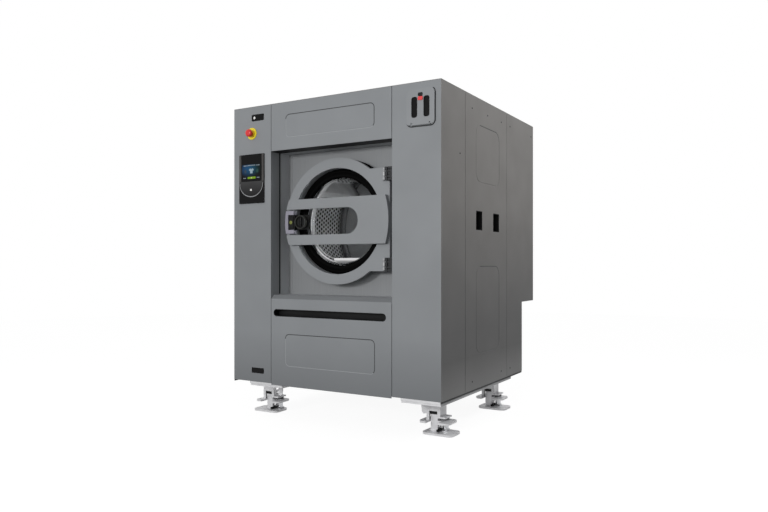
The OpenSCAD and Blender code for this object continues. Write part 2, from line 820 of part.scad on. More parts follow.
module door_glass() {
    v0 = gasket_v + gasket_t;
    v1 = v0 + glass_t;
    v2 = v0 + bowl_d;
    color([0.7, 0.8, 0.85, 0.4]) cab() at_axis() rotate([-90, 0, 0]) rotate_extrude()
        polygon([[glass_flange_r, v0], [glass_flange_r, v1], [bowl_r, v1], [bowl_r - 6, v2 - 30],
            [bowl_r - 22, v2 - 12], [bowl_r - 60, v2], [0, v2], [0, v2 - glass_t],
            [bowl_r - 62, v2 - glass_t], [bowl_r - 28, v2 - 18], [bowl_r - 14, v2 - 34], [bowl_r - 8, v0]]);
}
// The band's face: its left end follows the ring, its right end is a shallow arc
module band_outline(inset) {
    h = band_h - 2 * inset;
    intersection() {
        translate([-ring_r, -h / 2]) square([ring_r, h]);
        circle(band_left_r - inset, $fn = 180);
    }
    intersection() {
        translate([-bite, -h / 2]) square([ring_r + bite, h]);
        translate([band_reach - band_right_r, 0]) circle(band_right_r - inset, $fn = 180);
    }
}
module grip_outline(grow) {
    translate([-ring_r - 2 * bite, -grip_h / 2 - grow])
        square([ring_r + grip_end_x - grip_h / 2, grip_h + 2 * grow]);
    translate([grip_end_x - grip_h / 2, 0]) circle(grip_h / 2 + grow);
}
module door_band() {
    color("lightslategray") cab() at_axis() difference() {
        sheet_xh(band_v, ring_v) difference() {
            band_outline(0);
            grip_outline(0);
        }
        sheet_xh(band_v + band_t, ring_v + bite) difference() {
            band_outline(band_t);
            grip_outline(band_t);
        }
    }
}
module latch_housing() {
    left = 339;
    color("dimgray") cab() at_axis() difference() {
        union() {
            slab(-left, -knob_x + 38, lock_base_v, ring_v, -42, 42);
            intersection() {
                rod_v(0, 0, 45, ring_v, band_left_r);
                union() {
                    slab(-left, -315, 45, ring_v, -66, 66);
                    for (h = [-66, 52]) slab(-left, -285, 45, ring_v, h, h + 14);
                }
            }
            slab(-316, -272, 50, lock_base_v + bite, -45, 45);
        }
        slab(-stem_x - bolt_gap, stem_slot_end, lock_base_v - 4, ring_v + bite,
            -stem_half_h - bolt_gap, stem_half_h + bolt_gap);
        rod_v(-knob_x, 0, knob_v, ring_v + bite, knob_pin_r + run);
    }
}
module latch_knob() {
    color("black") cab() at_axis() {
        rod_v(-knob_x, 0, knob_v + 8, lock_base_v - rest_gap, knob_r - 6);
        pipe_v(-knob_x, 0, knob_v, knob_v + 20, knob_r, knob_r - 5);
        pipe_v(-knob_x, 0, knob_v + 12, knob_v + 18, knob_r - 4, knob_r - 8);
        slab(-knob_x - 6, -knob_x + 6, knob_v + 2, knob_v + 10, -knob_r + 4, knob_r - 4);
        rod_v(-knob_x, 0, lock_base_v - 2, ring_v - rest_gap, knob_pin_r);
    }
}
module latch_bolt() {
    color("silver") cab() at_axis() {
        slab(-bolt_tip_x, -stem_x + stem_w, bolt_v, bolt_v + bolt_t, -bolt_half_h, bolt_half_h);
        slab(-stem_x, -stem_x + stem_w, lock_base_v - 2, bolt_v + bite, -stem_half_h, stem_half_h);
    }
}
module latch_keeper() {
    cheek = bolt_half_h + 3;
    color("silver") cab() at_axis() difference() {
        slab(-keeper_left_x, -keeper_right_x, bolt_v - 2, recess_d, -cheek - 8, cheek + 8);
        slab(-keeper_left_x - bite, -keeper_right_x + bite, bolt_v - 2 - bite, bolt_v + bolt_t + 8,
            -cheek, cheek);
    }
}
// Hinges: the door leaf turns on a pin that two knuckles of the column bracket hold
module at_hinges() {
    for (s = [-1, 1]) translate([hinge_x, hinge_v, axis_h + s * hinge_half_gap]) children();
}
module hinge_brackets() {
    knuckle = (hinge_len - hinge_door_len) / 2 - rest_gap;
    wall_x = bay_half - hinge_x;
    color("dimgray") cab() at_hinges() {
        for (s = [-1, 1]) {
            z0 = s > 0 ? hinge_len / 2 - knuckle : -hinge_len / 2;
            translate([0, 0, z0]) cylinder(r = hinge_barrel_r, h = knuckle);
            slab(0, wall_x - 5, -7, 7, z0, z0 + knuckle);
        }
        slab(wall_x - 6, wall_x, -30, 22, -hinge_len / 2 - 4, hinge_len / 2 + 4);
        translate([0, 0, -hinge_len / 2]) cylinder(r = hinge_pin_r, h = hinge_len);
    }
}
module hinge_leaves() {
    half = hinge_door_len / 2;
    face = ring_v - hinge_v;
    color("lightgray") cab() at_hinges() difference() {
        union() {
            translate([0, 0, -half]) cylinder(r = hinge_barrel_r, h = hinge_door_len);
            slab(-24, 0, 2, 8.9, -half, half);
            slab(ear_x - hinge_x - 42, ear_x - hinge_x - 2, face - 8, face, -35, 35);
            slab(-26, -20, 2, face - 1, -half, half);
            for (z = [-20, 20]) translate([ear_x - hinge_x - 22, face - 8 + bite, z])
                rotate([90, 0, 0]) cylinder(r = 9, h = 6 + bite);
        }
        translate([0, 0, -half - bite]) cylinder(r = hinge_pin_r + run, h = hinge_door_len + 2 * bite);
    }
}

module tub_shell() {
    color("silver") cab() difference() {
        union() {
            rod_v(0, axis_h, tub_v + 4, tub_back, tub_r);
            translate([drain_x, drain_v, hose_top]) cylinder(r = sump_r, h = 100);
        }
        rod_v(0, axis_h, tub_v + 3, tub_back - tub_wall, tub_r - tub_wall);
        rod_v(0, axis_h, tub_back - tub_wall - bite, tub_back + bite, shaft_r + 3);
        translate([drain_x, drain_v, hose_top - bite]) cylinder(r = sump_r - 4, h = 160);
    }
}
// The ribs and plates that carry the tub on its springs, and the hangers of the motor
module tub_cradle() {
    color("silver") cab() difference() {
        both_sides() {
            for (v = rib_v) {
                sheet_at(v) polygon([[rib_in_x, seat_h], [rib_out_x, seat_h], [rib_out_x, seat_h + 80],
                    [rib_out_x - 70, rib_top], [rib_in_x, rib_top]]);
                slab(damper_x - 35, rib_out_x, v - 55, v + 55, seat_h - seat_t, seat_h + bite);
            }
            slab(60, 80, motor_v + 20, motor_v + motor_len - 40, motor_h + 60, axis_h - tub_r + 60);
        }
        rod_v(0, axis_h, tub_v, tub_back + bite, tub_r + run);
        rod_v(0, motor_h, motor_v, motor_v + motor_len, motor_r + run);
    }
}
module sheet_at(v) { sheet_xh(v - rib_t / 2, v + rib_t / 2) children(); }
module tub_front() {
    color("silver") cab() difference() {
        union() {
            rod_v(0, axis_h, tub_v, tub_v + 4, tub_r + 12);
            rod_v(0, axis_h, tub_v - 8, tub_v + bite, mouth_r + 12);
        }
        rod_v(0, axis_h, tub_v - 8 - bite, tub_v + 4 + bite, mouth_r + 6);
    }
}
// One rubber piece: the door seal bead in front of the plate, the neck through it and the fold to the tub
module tub_bellows() {
    bead_r = 333;
    fold_r = mouth_r + 38;
    v1 = recess_d - 6;
    v2 = recess_d + 3;
    v3 = tub_v - 8 - rest_gap;
    color("black") cab() at_axis() rotate([-90, 0, 0]) rotate_extrude()
        polygon([[mouth_r - 5, v1], [bead_r, v1], [bead_r, recess_d], [mouth_r, recess_d], [mouth_r, v2],
            [fold_r, v2 + rest_gap], [fold_r, v2 + 5], [mouth_r + 6, v2 + 7], [mouth_r + 1, v2 + 16],
            [fold_r - 6, v2 + 24], [fold_r - 6, v3 - 12], [mouth_r + 12, v3 - 5], [mouth_r + 12, v3],
            [mouth_r + 4, v3], [mouth_r + 4, v3 - 9], [fold_r - 12, v3 - 15], [fold_r - 12, v2 + 28],
            [mouth_r - 5, v2 + 19], [mouth_r - 5, v2 + 5]]);
}

module drum_shell() {
    lip = 10;
    neck = 30;
    color("lightsteelblue") cab() difference() {
        union() {
            rod_v(0, axis_h, drum_v, drum_back, drum_r);
            rod_v(0, axis_h, drum_v - lip, drum_v + bite, lip_r + 8);
        }
        difference() {
            rod_v(0, axis_h, drum_v + drum_wall, drum_back - drum_wall, drum_r - drum_wall);
            rod_v(0, axis_h, drum_v, drum_v + neck, lip_r + drum_wall);
        }
        rod_v(0, axis_h, drum_v - lip - bite, drum_v + neck + bite, lip_r);
    }
}
lifter_wall = 4;
module lifter_outline(inset) {
    base_r = drum_r - drum_wall;
    top = -base_r + 95 - inset;
    polygon([[-75 + inset, -base_r - 10], [75 - inset, -base_r - 10], [38 - inset, top - 25],
        [18 - inset / 2, top], [-18 + inset / 2, top], [-38 + inset, top - 25]]);
}
module drum_lifters() {
    base_r = drum_r - drum_wall;
    color("lightsteelblue") cab() for (a = [0, 120, 240]) at_axis() rotate([0, a, 0])
        sheet_xh(drum_v + 20, drum_back - 20) intersection() {
            circle(base_r);
            difference() {
                lifter_outline(0);
                lifter_outline(lifter_wall);
            }
        }
}
module drum_shaft() {
    color("silver") cab() {
        rod_v(0, axis_h, drum_back + run, drum_back + spider_t, spider_r);
        for (a = [0, 120, 240]) at_axis() rotate([0, a, 0])
            slab(-40, 40, drum_back + run, drum_back + spider_t, 100, drum_r - 20);
        rod_v(0, axis_h, drum_back + spider_t - bite, pulley_v + pulley_w, shaft_r);
    }
}
module bearing_housing() {
    color("dimgray") cab() difference() {
        union() {
            rod_v(0, axis_h, tub_back, housing_end, housing_r);
            rod_v(0, axis_h, tub_back, tub_back + 20, 300);
            for (a = [0:60:300]) at_axis() rotate([0, a, 0])
                sheet_vh(-7, 7) polygon([[tub_back + 5, 60], [tub_back + 5, 290], [tub_back + 30, 290],
                    [housing_end - 30, 100], [housing_end - 30, 60]]);
        }
        rod_v(0, axis_h, tub_back - bite, housing_end + bite, bearing_r);
    }
}
module shaft_bearings() {
    color("silver") cab() for (v = [tub_back + bearing_inset, housing_end - bearing_inset - bearing_w])
        pipe_v(0, axis_h, v, v + bearing_w, bearing_r, shaft_r + run);
}
module driven_pulley() {
    color("dimgray") cab() difference() {
        union() {
            pipe_v(0, axis_h, pulley_v, pulley_v + pulley_w, pulley_r, pulley_r - 22);
            rod_v(0, axis_h, pulley_v, pulley_v + pulley_w, 85);
            rod_v(0, axis_h, pulley_v + 10, pulley_v + pulley_w - 10, pulley_r - 10);
        }
        rod_v(0, axis_h, pulley_v - bite, pulley_v + pulley_w + bite, shaft_r);
    }
}
function arc_point(z, r, a) = [r * cos(a), z + r * sin(a)];
function arc_points(z, r, a0, a1, n) = [for (i = [0:n]) arc_point(z, r, a0 + (a1 - a0) * i / n)];
// The loop round two pulleys on one vertical line: the tangent angle follows from the radii and the span
module belt_loop(r1, r2) {
    a = asin((r1 - r2) / belt_span);
    polygon(concat(arc_points(0, r1, -a, 180 + a, 90), arc_points(-belt_span, r2, 180 + a, 360 - a, 40)));
}
module drive_belts() {
    g = rest_gap;
    color("black") cab() at_axis() sheet_xh(pulley_v + 8, pulley_v + pulley_w - 8) difference() {
        belt_loop(pulley_r + belt_t, motor_pulley_r + belt_t);
        belt_loop(pulley_r + g, motor_pulley_r + g);
    }
}
module motor_body() {
    color("slategray") cab() difference() {
        union() {
            rod_v(0, motor_h, motor_v, motor_v + motor_len, motor_r);
            slab(80, 170, motor_v + 140, motor_v + 260, motor_h - 40, motor_h + 40);
        }
        rod_v(0, motor_h, motor_v + motor_len - 60, motor_v + motor_len + bite, motor_shaft_r + run);
    }
}
module motor_rotor() {
    color("silver") cab() {
        rod_v(0, motor_h, motor_v + motor_len - 55, pulley_v + pulley_w, motor_shaft_r);
        rod_v(0, motor_h, pulley_v, pulley_v + pulley_w, motor_pulley_r);
    }
}

module at_supports(x) { both_sides() for (v = rib_v) translate([x, v, 0]) children(); }
module suspension_springs() {
    color("silver") cab() at_supports(spring_x) translate([0, 0, chassis_top])
        cylinder(r = spring_r, h = seat_h - seat_t - chassis_top);
}
module damper_bodies() {
    color("dimgray") cab() at_supports(damper_x) difference() {
        translate([0, 0, chassis_top]) cylinder(r = damper_r, h = damper_len);
        translate([0, 0, damper_bore_h]) cylinder(r = rod_r + run, h = damper_len);
    }
}
module damper_rods() {
    rod_base_h = damper_bore_h + tub_travel + 10;
    color("silver") cab() at_supports(damper_x) translate([0, 0, rod_base_h])
        cylinder(r = rod_r, h = seat_h - seat_t - rod_base_h);
}
module drain_valve() {
    color("dimgray") cab() {
        difference() {
            slab(drain_x - 55, drain_x + 55, drain_v - 55, drain_v + 55, chassis_top, valve_top);
            translate([drain_x, drain_v, drain_h]) cylinder(r = drain_pipe_r - 6, h = valve_top);
        }
        pipe_v(drain_x, drain_h, drain_v + 50, body_d + bite, drain_pipe_r - 2, drain_pipe_r - 6);
        pipe_v(drain_x, drain_h, body_d, body_d + 6, drain_pipe_r + 14, drain_pipe_r - 6);
        pipe_v(drain_x, drain_h, body_d + 6, body_d + 6 + drain_spigot_l, drain_pipe_r, drain_pipe_r - 6);
    }
}
module drain_hose() {
    color("black") cab() translate([drain_x, drain_v, valve_top]) difference() {
        cylinder(r = sump_r + 4, h = hose_top - valve_top);
        translate([0, 0, -bite]) cylinder(r = sump_r - 4, h = hose_top - valve_top + 2 * bite);
    }
}
module water_inlets() {
    block_back = body_d - sheet;
    color("goldenrod") cab() {
        slab(inlet_x[0] - 35, inlet_x[2] + 35, block_back - 50, block_back, inlet_h - 35, inlet_h + 35);
        for (x = inlet_x) difference() {
            union() {
                rod_v(x, inlet_h, block_back - bite, body_d + bite, inlet_r - 1);
                rod_v(x, inlet_h, body_d, body_d + 5, inlet_r + 7);
                rod_v(x, inlet_h, body_d + 5, body_d + 5 + inlet_spigot_l, inlet_r);
            }
            rod_v(x, inlet_h, block_back + 4, body_d + 5 + inlet_spigot_l + bite, inlet_r - 5);
        }
    }
}
module electrical_box() {
    back = body_d - sheet;
    color("lightgray") cab() difference() {
        union() {
            slab(isolator_x - 135, isolator_x + 135, back - 150, back, isolator_h - 180, isolator_h + 100);
            slab(isolator_x - box_half, isolator_x + box_half, back - bite, box_face,
                isolator_h - box_half, isolator_h + box_half);
        }
        rod_v(isolator_x, isolator_h, body_d - 20, box_face + bite, spindle_r + run);
    }
}
module isolator_knob() {
    color("red") cab() {
        rod_v(isolator_x, isolator_h, body_d - 15, box_face + bite, spindle_r);
        rod_v(isolator_x, isolator_h, box_face + rest_gap, box_face + 10, dial_r);
        slab(isolator_x - 8, isolator_x + 8, box_face + 10 - bite, box_face + knob_len,
            isolator_h - dial_r, isolator_h + dial_r);
    }
}

chassis_frame();
foot_bases();
load_cells();
foot_pads();
foot_brackets();
cabinet_frame();
left_column();
right_column();
top_panel();
lower_panel();
slot_liner();
recess_frame();
front_plate();
left_mid_panel();
right_mid_panel();
rear_side_panels();
roof_panel();
rear_lower_panel();
rear_upper_panel();
side_vents();
panel_screws();
estop_collar();
estop_plunger();
estop_cap();
control_bezel();
screen_glass();
dispenser_hopper();
dispenser_lid();
lid_latch();
door_frame();
door_glass();
window_gasket();
door_band();
latch_housing();
latch_knob();
latch_bolt();
latch_keeper();
hinge_brackets();
hinge_leaves();
tub_shell();
tub_cradle();
tub_front();
tub_bellows();
drum_shell();
drum_lifters();
drum_shaft();
bearing_housing();
shaft_bearings();
driven_pulley();
drive_belts();
motor_body();
motor_rotor();
suspension_springs();
damper_bodies();
damper_rods();
drain_valve();
drain_hose();
water_inlets();
electrical_box();
isolator_knob();
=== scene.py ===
"""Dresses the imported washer-extractor: painted sheets, door, glass, drum, controls, feet and the studio."""
import math
from functools import partial

import bmesh
import bpy
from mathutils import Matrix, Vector


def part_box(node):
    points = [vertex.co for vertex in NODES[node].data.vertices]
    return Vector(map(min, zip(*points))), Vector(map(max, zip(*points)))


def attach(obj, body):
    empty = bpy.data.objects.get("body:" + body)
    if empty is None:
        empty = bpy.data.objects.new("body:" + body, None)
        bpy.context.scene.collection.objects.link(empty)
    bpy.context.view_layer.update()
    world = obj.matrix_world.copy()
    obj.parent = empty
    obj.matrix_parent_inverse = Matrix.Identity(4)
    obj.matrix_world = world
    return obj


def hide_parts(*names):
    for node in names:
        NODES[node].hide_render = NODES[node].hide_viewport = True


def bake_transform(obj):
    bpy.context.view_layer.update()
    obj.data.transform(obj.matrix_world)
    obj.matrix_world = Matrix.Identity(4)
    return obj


bl_info = {
    "name": "Washer-extractor dressing",
    "version": (1, 0, 0),
    "blender": (4, 5, 0),
    "location": "View3D > Sidebar > Washer",
    "description": "Builds the visible detail of a cabinet washer-extractor on its packed frame",
    "category": "Object",
}

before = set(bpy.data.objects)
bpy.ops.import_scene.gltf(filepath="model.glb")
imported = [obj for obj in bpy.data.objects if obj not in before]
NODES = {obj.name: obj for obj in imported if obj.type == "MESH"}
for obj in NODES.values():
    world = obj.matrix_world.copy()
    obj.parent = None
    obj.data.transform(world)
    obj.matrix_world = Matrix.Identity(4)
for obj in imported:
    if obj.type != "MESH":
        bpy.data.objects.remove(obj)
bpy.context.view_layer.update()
# The cabinet's front face and bottom edge in metres; sizes below are mm: x, depth v behind the face, height h
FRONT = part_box("left_column")[0].y
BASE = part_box("roof_panel")[1].z - 1.640
SIDE = 692.0  # from the middle to a side's face
AXIS_H = 949.0  # height of the drum's and door's axis
HINGE_H = 243.0  # from the axis up or down to a hinge
SAME_POINT = 2e-6  # metres between points that are merged


def at(x, v, h):
    """A point of the cabinet, in metres."""
    return Vector((x / 1000, FRONT + v / 1000, BASE + h / 1000))


def linear(colour):
    """Linear red, green, blue and alpha of an sRGB hex colour."""
    parts = [int(colour[i:i + 2], 16) / 255 for i in (1, 3, 5)]
    return [c / 12.92 if c <= 0.04045 else ((c + 0.055) / 1.055) ** 2.4 for c in parts] + [1.0]


def shade(label, note, colour):
    """A colour that the user may change."""
    return bpy.props.FloatVectorProperty(
        name=label, description=note, default=linear(colour)[:3], subtype="COLOR", size=3, min=0, max=1)


def length(label, note, mm, top=2000):
    """A length that the user may change."""
    return bpy.props.FloatProperty(name=label, description=note, default=mm / 1000, min=0, max=top / 1000,
                                   subtype="DISTANCE", unit="LENGTH")


def count(label, note, number, top=400):
    """A count that the user may change."""
    return bpy.props.IntProperty(name=label, description=note, default=number, min=1, max=top)


# Settings that the user may change

class WasherColours(bpy.types.PropertyGroup):
    """Colours of the paint, plastic and rubber."""
    cabinet: shade("Cabinet", "Powder coat of the front panels, door and lid", "#919497")
    # Painted shade: the sides' default is the cabinet's coat, painted darker where less light falls
    sides: shade("Sides", "Powder coat of the side, rear and roof panels", "#888684")
    recess: shade("Recess", "Sleeve round the door and the plate behind it", "#8f9193")
    zinc: shade("Zinc", "Plated feet and chassis", "#e2e2e4")
    rubber: shade("Rubber", "Door seal, hose and belt", "#0b0b0c")
    collar: shade("Collar", "Emergency stop collar", "#f2df2b")
    cap: shade("Cap", "Emergency stop cap", "#e2282c")
    display: shade("Display", "Lit background of the touch screen", "#1c4d7c")
    button: shade("Button", "Start field of the touch screen", "#92bd26")


class WasherDrum(bpy.types.PropertyGroup):
    """Perforations of the drum."""
    around: count("Holes around", "Holes in one ring of the drum", 109)
    rows: count("Rows", "Rings of holes along the drum", 24)
    pitch: length("Row pitch", "Distance between rings of holes", 24.8)
    start: length("First row", "Depth of the first ring behind the cabinet's face", 280)
    radius: length("Wall radius", "Radius of the drum's inner wall", 497)
    hole: length("Hole radius", "Radius of a hole", 9.4)
    rim: length("Rim radius", "Radius of the drawn rim round a hole", 11.6)


class WasherEdges(bpy.types.PropertyGroup):
    """Widths of the folded and rounded edges."""
    sheet: length("Sheet", "Bend at the edge of a cabinet sheet", 1.0, 5)
    door: length("Door", "Rounding of the door ring's edge", 5.0, 8)
    band: length("Band", "Rounding of the handle band's edge", 3.5, 5)
    cast: length("Feet", "Rounding of the plates of the feet", 2.0, 4)


class WasherSprings(bpy.types.PropertyGroup):
    """Helical suspension springs."""
    turns: bpy.props.FloatProperty(
        name="Turns", description="Turns of one spring", default=5.5, min=1, max=20)
    coil: length("Coil radius", "Radius of the wire's centre line", 41)
    wire: length("Wire radius", "Radius of the spring wire", 6.5)


# Finishes: a name, a light and a dark colour, and what differs from the defaults of the function surface.
# A colour is an sRGB hex value, or a colour of the settings and a factor; True after it takes its grey.
UPRIGHT_GRIND = {"metal": 0.1, "grain": (1.4, 1.4, 160), "relief": 0.006, "level": 0.2}
FINISHES = {
    # Satin powder coat: a mid grey with a faint orange peel and soft reflections, painted darker towards the
    # floor as shade
    "panel": ("Powder-coated front panel", ("cabinet", 1.05), ("cabinet", 0.99), dict(
        level=0.15, fades=[("Z", BASE - 0.05, BASE + 0.32, ("cabinet", 0.72))])),
    # The same powder coat on the sides, a little warmer and duller, and painted darker as shade: painted
    # shade deepens it from about a metre down, and painted light from the floor lifts it again at its foot
    "side": ("Powder-coated side panel", ("sides", 1.03), ("sides", 0.96), dict(
        rough=0.5, level=0.1, fades=[("Z", BASE + 0.35, BASE + 1.05, ("sides", 0.66, True)),
                                     ("Z", BASE + 0.03, BASE + 0.2, ("sides", 1.15, True))])),
    # Folded hem at a side's bottom: the coat in its own shadow
    "hem": ("Shadowed hem", "#4e4f50", "#484949", dict(rough=0.6, level=0.1)),
    # The coat on the slope of a pressed field: dark above, where it looks down, and light below
    "press shadow": ("Shadowed press line", "#565859", "#505253", dict(rough=0.5, level=0.1)),
    "press light": ("Lit press line", "#a7aaad", "#a0a3a6", dict(rough=0.5, level=0.1)),
    # The coat on the slanting sill: darker, since it looks away from the lamps
    "sill": ("Powder-coated sill", ("cabinet", 0.72), ("cabinet", 0.68), dict(rough=0.5, level=0.1)),
    # Vertically ground plate with fine streaks under a thin grey coat
    "recess": ("Ground recess plate", ("recess", 1.07), ("recess", 0.93), dict(
        UPRIGHT_GRIND, rough=0.5, streak=0.7)),
    # The sleeve round the door: the same ground sheet, painted much paler than the plate behind it as painted
    # light, since the lamps hardly reach its walls
    "sleeve": ("Ground recess sleeve", ("recess", 1.75), ("recess", 1.55), dict(
        UPRIGHT_GRIND, rough=0.5, streak=0.5)),
    # A pale strip of that sheet laid on the plate's left edge, where the column's shadow falls: painted light
    # and shade, giving that edge the tone of a soft half-shade
    "recess strip": ("Ground strip beside the plate", "#9c9ea0", "#8e9092", dict(
        UPRIGHT_GRIND, rough=0.5, streak=0.6)),
    # Pressed door parts: the panels' grey with a slightly smoother coat, so edges catch the light
    "door": ("Powder-coated door pressing", ("cabinet", 1.04), ("cabinet", 0.98), dict(
        rough=0.38, level=0.25)),
    # Bright zinc plate: pale, slightly clouded metal with soft spangles
    "zinc": ("Bright zinc plate", ("zinc", 1.04), ("zinc", 0.88), dict(
        rough=0.42, spread=0.08, metal=0.25, grain=5, relief=0.02, patch=45)),
    # The same plate on the rails' ends, in the cabinet's shade
    "rail": ("Shaded zinc rail", "#a6a7a9", "#939496", dict(metal=0.2, relief=0.02)),
    # Ground stainless sheet: fine lines along the part
    "steel": ("Ground stainless steel", "#c9cacc", "#a9aaad", dict(
        rough=0.3, spread=0.06, metal=1.0, grain=(0.8, 40, 0.8), relief=0.004, streak=0.5)),
    # Pickled and polished drum sheet: soft bright reflections, little colour, with painted shade darkening it
    # into its rear corner
    "drum": ("Polished drum sheet", "#e4e5e6", "#cfd0d2", dict(
        rough=0.42, spread=0.05, metal=0.3, grain=2, relief=0.01, patch=80,
        fades=[("Y", FRONT + 0.85, FRONT + 0.79, "#434446")])),
    # The same sheet on the rear wall, dull, and painted much darker as shade
    "drum rear": ("Dull drum rear wall", "#8f9092", "#858688", dict(rough=0.5, metal=0.2, patch=120)),
    # Mirror-bright rolled edge of the drum's mouth; the same near-white also paints two reflection arcs on
    # the glass bowl
    "lip": ("Mirror-polished rolled edge", "#f6f6f7", "#ececee", dict(
        rough=0.22, spread=0.03, metal=0.4, grain=6, relief=0.01)),
    # Painted shade: black discs in the holes stand for the dark gap between drum and tub
    "gap": ("Dark gap behind holes", "#070708", "#040404", dict(rough=0.7, relief=0.004)),
    # Painted reflection of the floor in the bowl's curved foot: white, turning grey at its lower edge
    "tray": ("White enamel drip tray", "#ffffff", "#f8f8f8", dict(
        rough=0.3, relief=0.01, fades=[("Z", BASE + 0.722, BASE + 0.734, "#858688")])),
    # Moulded black rubber: almost no colour, a soft wide sheen along the curves
    "rubber": ("Moulded black rubber", ("rubber", 1.2), ("rubber", 0.8), dict(
        rough=0.5, spread=0.06, grain=0.9, relief=0.02, level=0.08)),
    # The window's gasket: deep black, with hardly any sheen
    "gasket": ("Deep black window rubber", "#040404", "#020202", dict(
        rough=0.6, grain=0.9, relief=0.02, level=0.03)),
    # Foot pads: grey rubber, matt from its mould
    "foot rubber": ("Grey moulded rubber", "#5b5c5d", "#4c4d4e", dict(rough=0.5, relief=0.03)),
    # Piano-black moulded plastic of the control panel and label plates
    "gloss black": ("Polished black plastic", "#060607", "#030304", dict(
        rough=0.2, spread=0.03, grain=9, relief=0.004, level=0.12)),
    # Fine-textured black plastic of liners, knob and vents
    "black": ("Textured black plastic", "#121314", "#0a0b0b", dict(
        rough=0.5, grain=0.7, relief=0.03, level=0.15)),
    # Satin charcoal plastic of the panel's U-shaped fascia, fading to black at its foot: painted shade
    "charcoal": ("Satin charcoal plastic", "#424243", "#383839", dict(
        rough=0.4, grain=0.8, relief=0.01, level=0.15,
        fades=[("Z", BASE + 1.105, BASE + 1.2, "#0b0b0b")])),
    # Its two upright strips: warmer and lighter where the light grazes them
    "warm strip": ("Satin warm charcoal strip", "#4c4a49", "#3f3d3c", dict(
        rough=0.4, relief=0.01, level=0.25)),
    # Thin satin-chrome trim
    "trim": ("Satin chrome trim", "#97989a", "#88898b", dict(
        rough=0.35, metal=0.5, grain=3, relief=0.004, level=0.3)),
    # Pale grey moulded plastic
    "pale": ("Pale moulded plastic", "#c3c5c8", "#b4b6b9", dict(rough=0.5, relief=0.02)),
    # White printed mark
    "white": ("White print", "#f2f2f0", "#e2e2e0", dict(rough=0.5, relief=0.004)),
    # Dark satin coat of the hinge brackets, springs and dampers
    "dark": ("Dark satin coat", "#323336", "#242527", dict(relief=0.02, level=0.2)),
    # Dull zinc on the hinge pins
    "pin": ("Dull plated pin", "#b2b3b5", "#9a9b9d", dict(rough=0.42, metal=0.15, grain=3)),
    # Pale moulded cover, faintly violet beside the grey door
    "latch cover": ("Pale latch cover", "#a09eab", "#94929e", dict(rough=0.4, relief=0.015, level=0.3)),
    # Black moulding painted olive grey all round, as painted sheen of light on the knob's rim
    "knob ring": ("Worn knob ring", "#3d3e3a", "#2b2c29", dict(rough=0.4, relief=0.02)),
    # Saturated yellow moulding of the emergency stop's collar
    "yellow": ("Yellow moulded collar", ("collar", 1.03), ("collar", 0.92), dict(rough=0.4, grain=1)),
    # Red moulded cap with a soft highlight
    "red": ("Red moulded cap", ("cap", 1.05), ("cap", 0.9), dict(rough=0.34, grain=1, relief=0.01)),
    # Lighter moulded rim round the lid's finger slots
    "rim": ("Moulded grey rim", "#7f8285", "#74777a", dict(rough=0.35, relief=0.01)),
    # The coat in the narrow gap round the lid
    "lid gap": ("Shadowed lid gap", "#3c3d3e", "#343536", dict(rough=0.6, level=0.05)),
    # Painted sand casting with a coarse skin
    "iron": ("Painted sand casting", "#4d4e50", "#3c3d3f", dict(
        rough=0.6, grain=3, relief=0.12, patch=60)),
    # Blue-grey enamel over a cast motor housing
    "motor": ("Motor enamel", "#5d6672", "#4d5560", dict(relief=0.05)),
    # Turned brass with fine rings and warm reflections
    "brass": ("Turned brass", "#c7a45c", "#a98846", dict(
        rough=0.28, metal=1.0, grain=(1, 12, 1), relief=0.01)),
}


def add(tree, kind, inputs=(), **settings):
    """Adds a node, sets its options, and links or sets its inputs.

    The kind goes without its family's name, and may have an operation after it. The inputs are values in
    order or by name, and a node among them gives its first live output."""
    kind, *operation = kind.split()
    families = ("ShaderNode", "GeometryNode", "FunctionNode", "")
    node = tree.nodes.new(next(family + kind for family in families if hasattr(bpy.types, family + kind)))
    if operation:
        node.operation = operation[0]
    for name, value in settings.items():
        setattr(node, name, value)
    for name, value in inputs.items() if isinstance(inputs, dict) else enumerate(inputs):
        if isinstance(value, bpy.types.Node):
            value = next(socket for socket in value.outputs if socket.enabled)
        if isinstance(value, bpy.types.NodeSocket):
            tree.links.new(value, node.inputs[name])
        else:
            node.inputs[name].default_value = value
    return node


def fresh(name):
    """A new material with an empty tree, and the function that adds its nodes."""
    material = bpy.data.materials.new(name)
    material.use_nodes = True
    material.node_tree.nodes.clear()
    return material, partial(add, material.node_tree)


def shown(colour):
    """The shader colour of a hex value, or of a colour of the settings."""
    if isinstance(colour, str):
        return linear(colour)
    part, factor, *grey = colour
    parts = list(getattr(bpy.context.scene.washer_colours, part))
    return [c * factor for c in ([sum(parts) / 3] * 3 if grey else parts)] + [1.0]


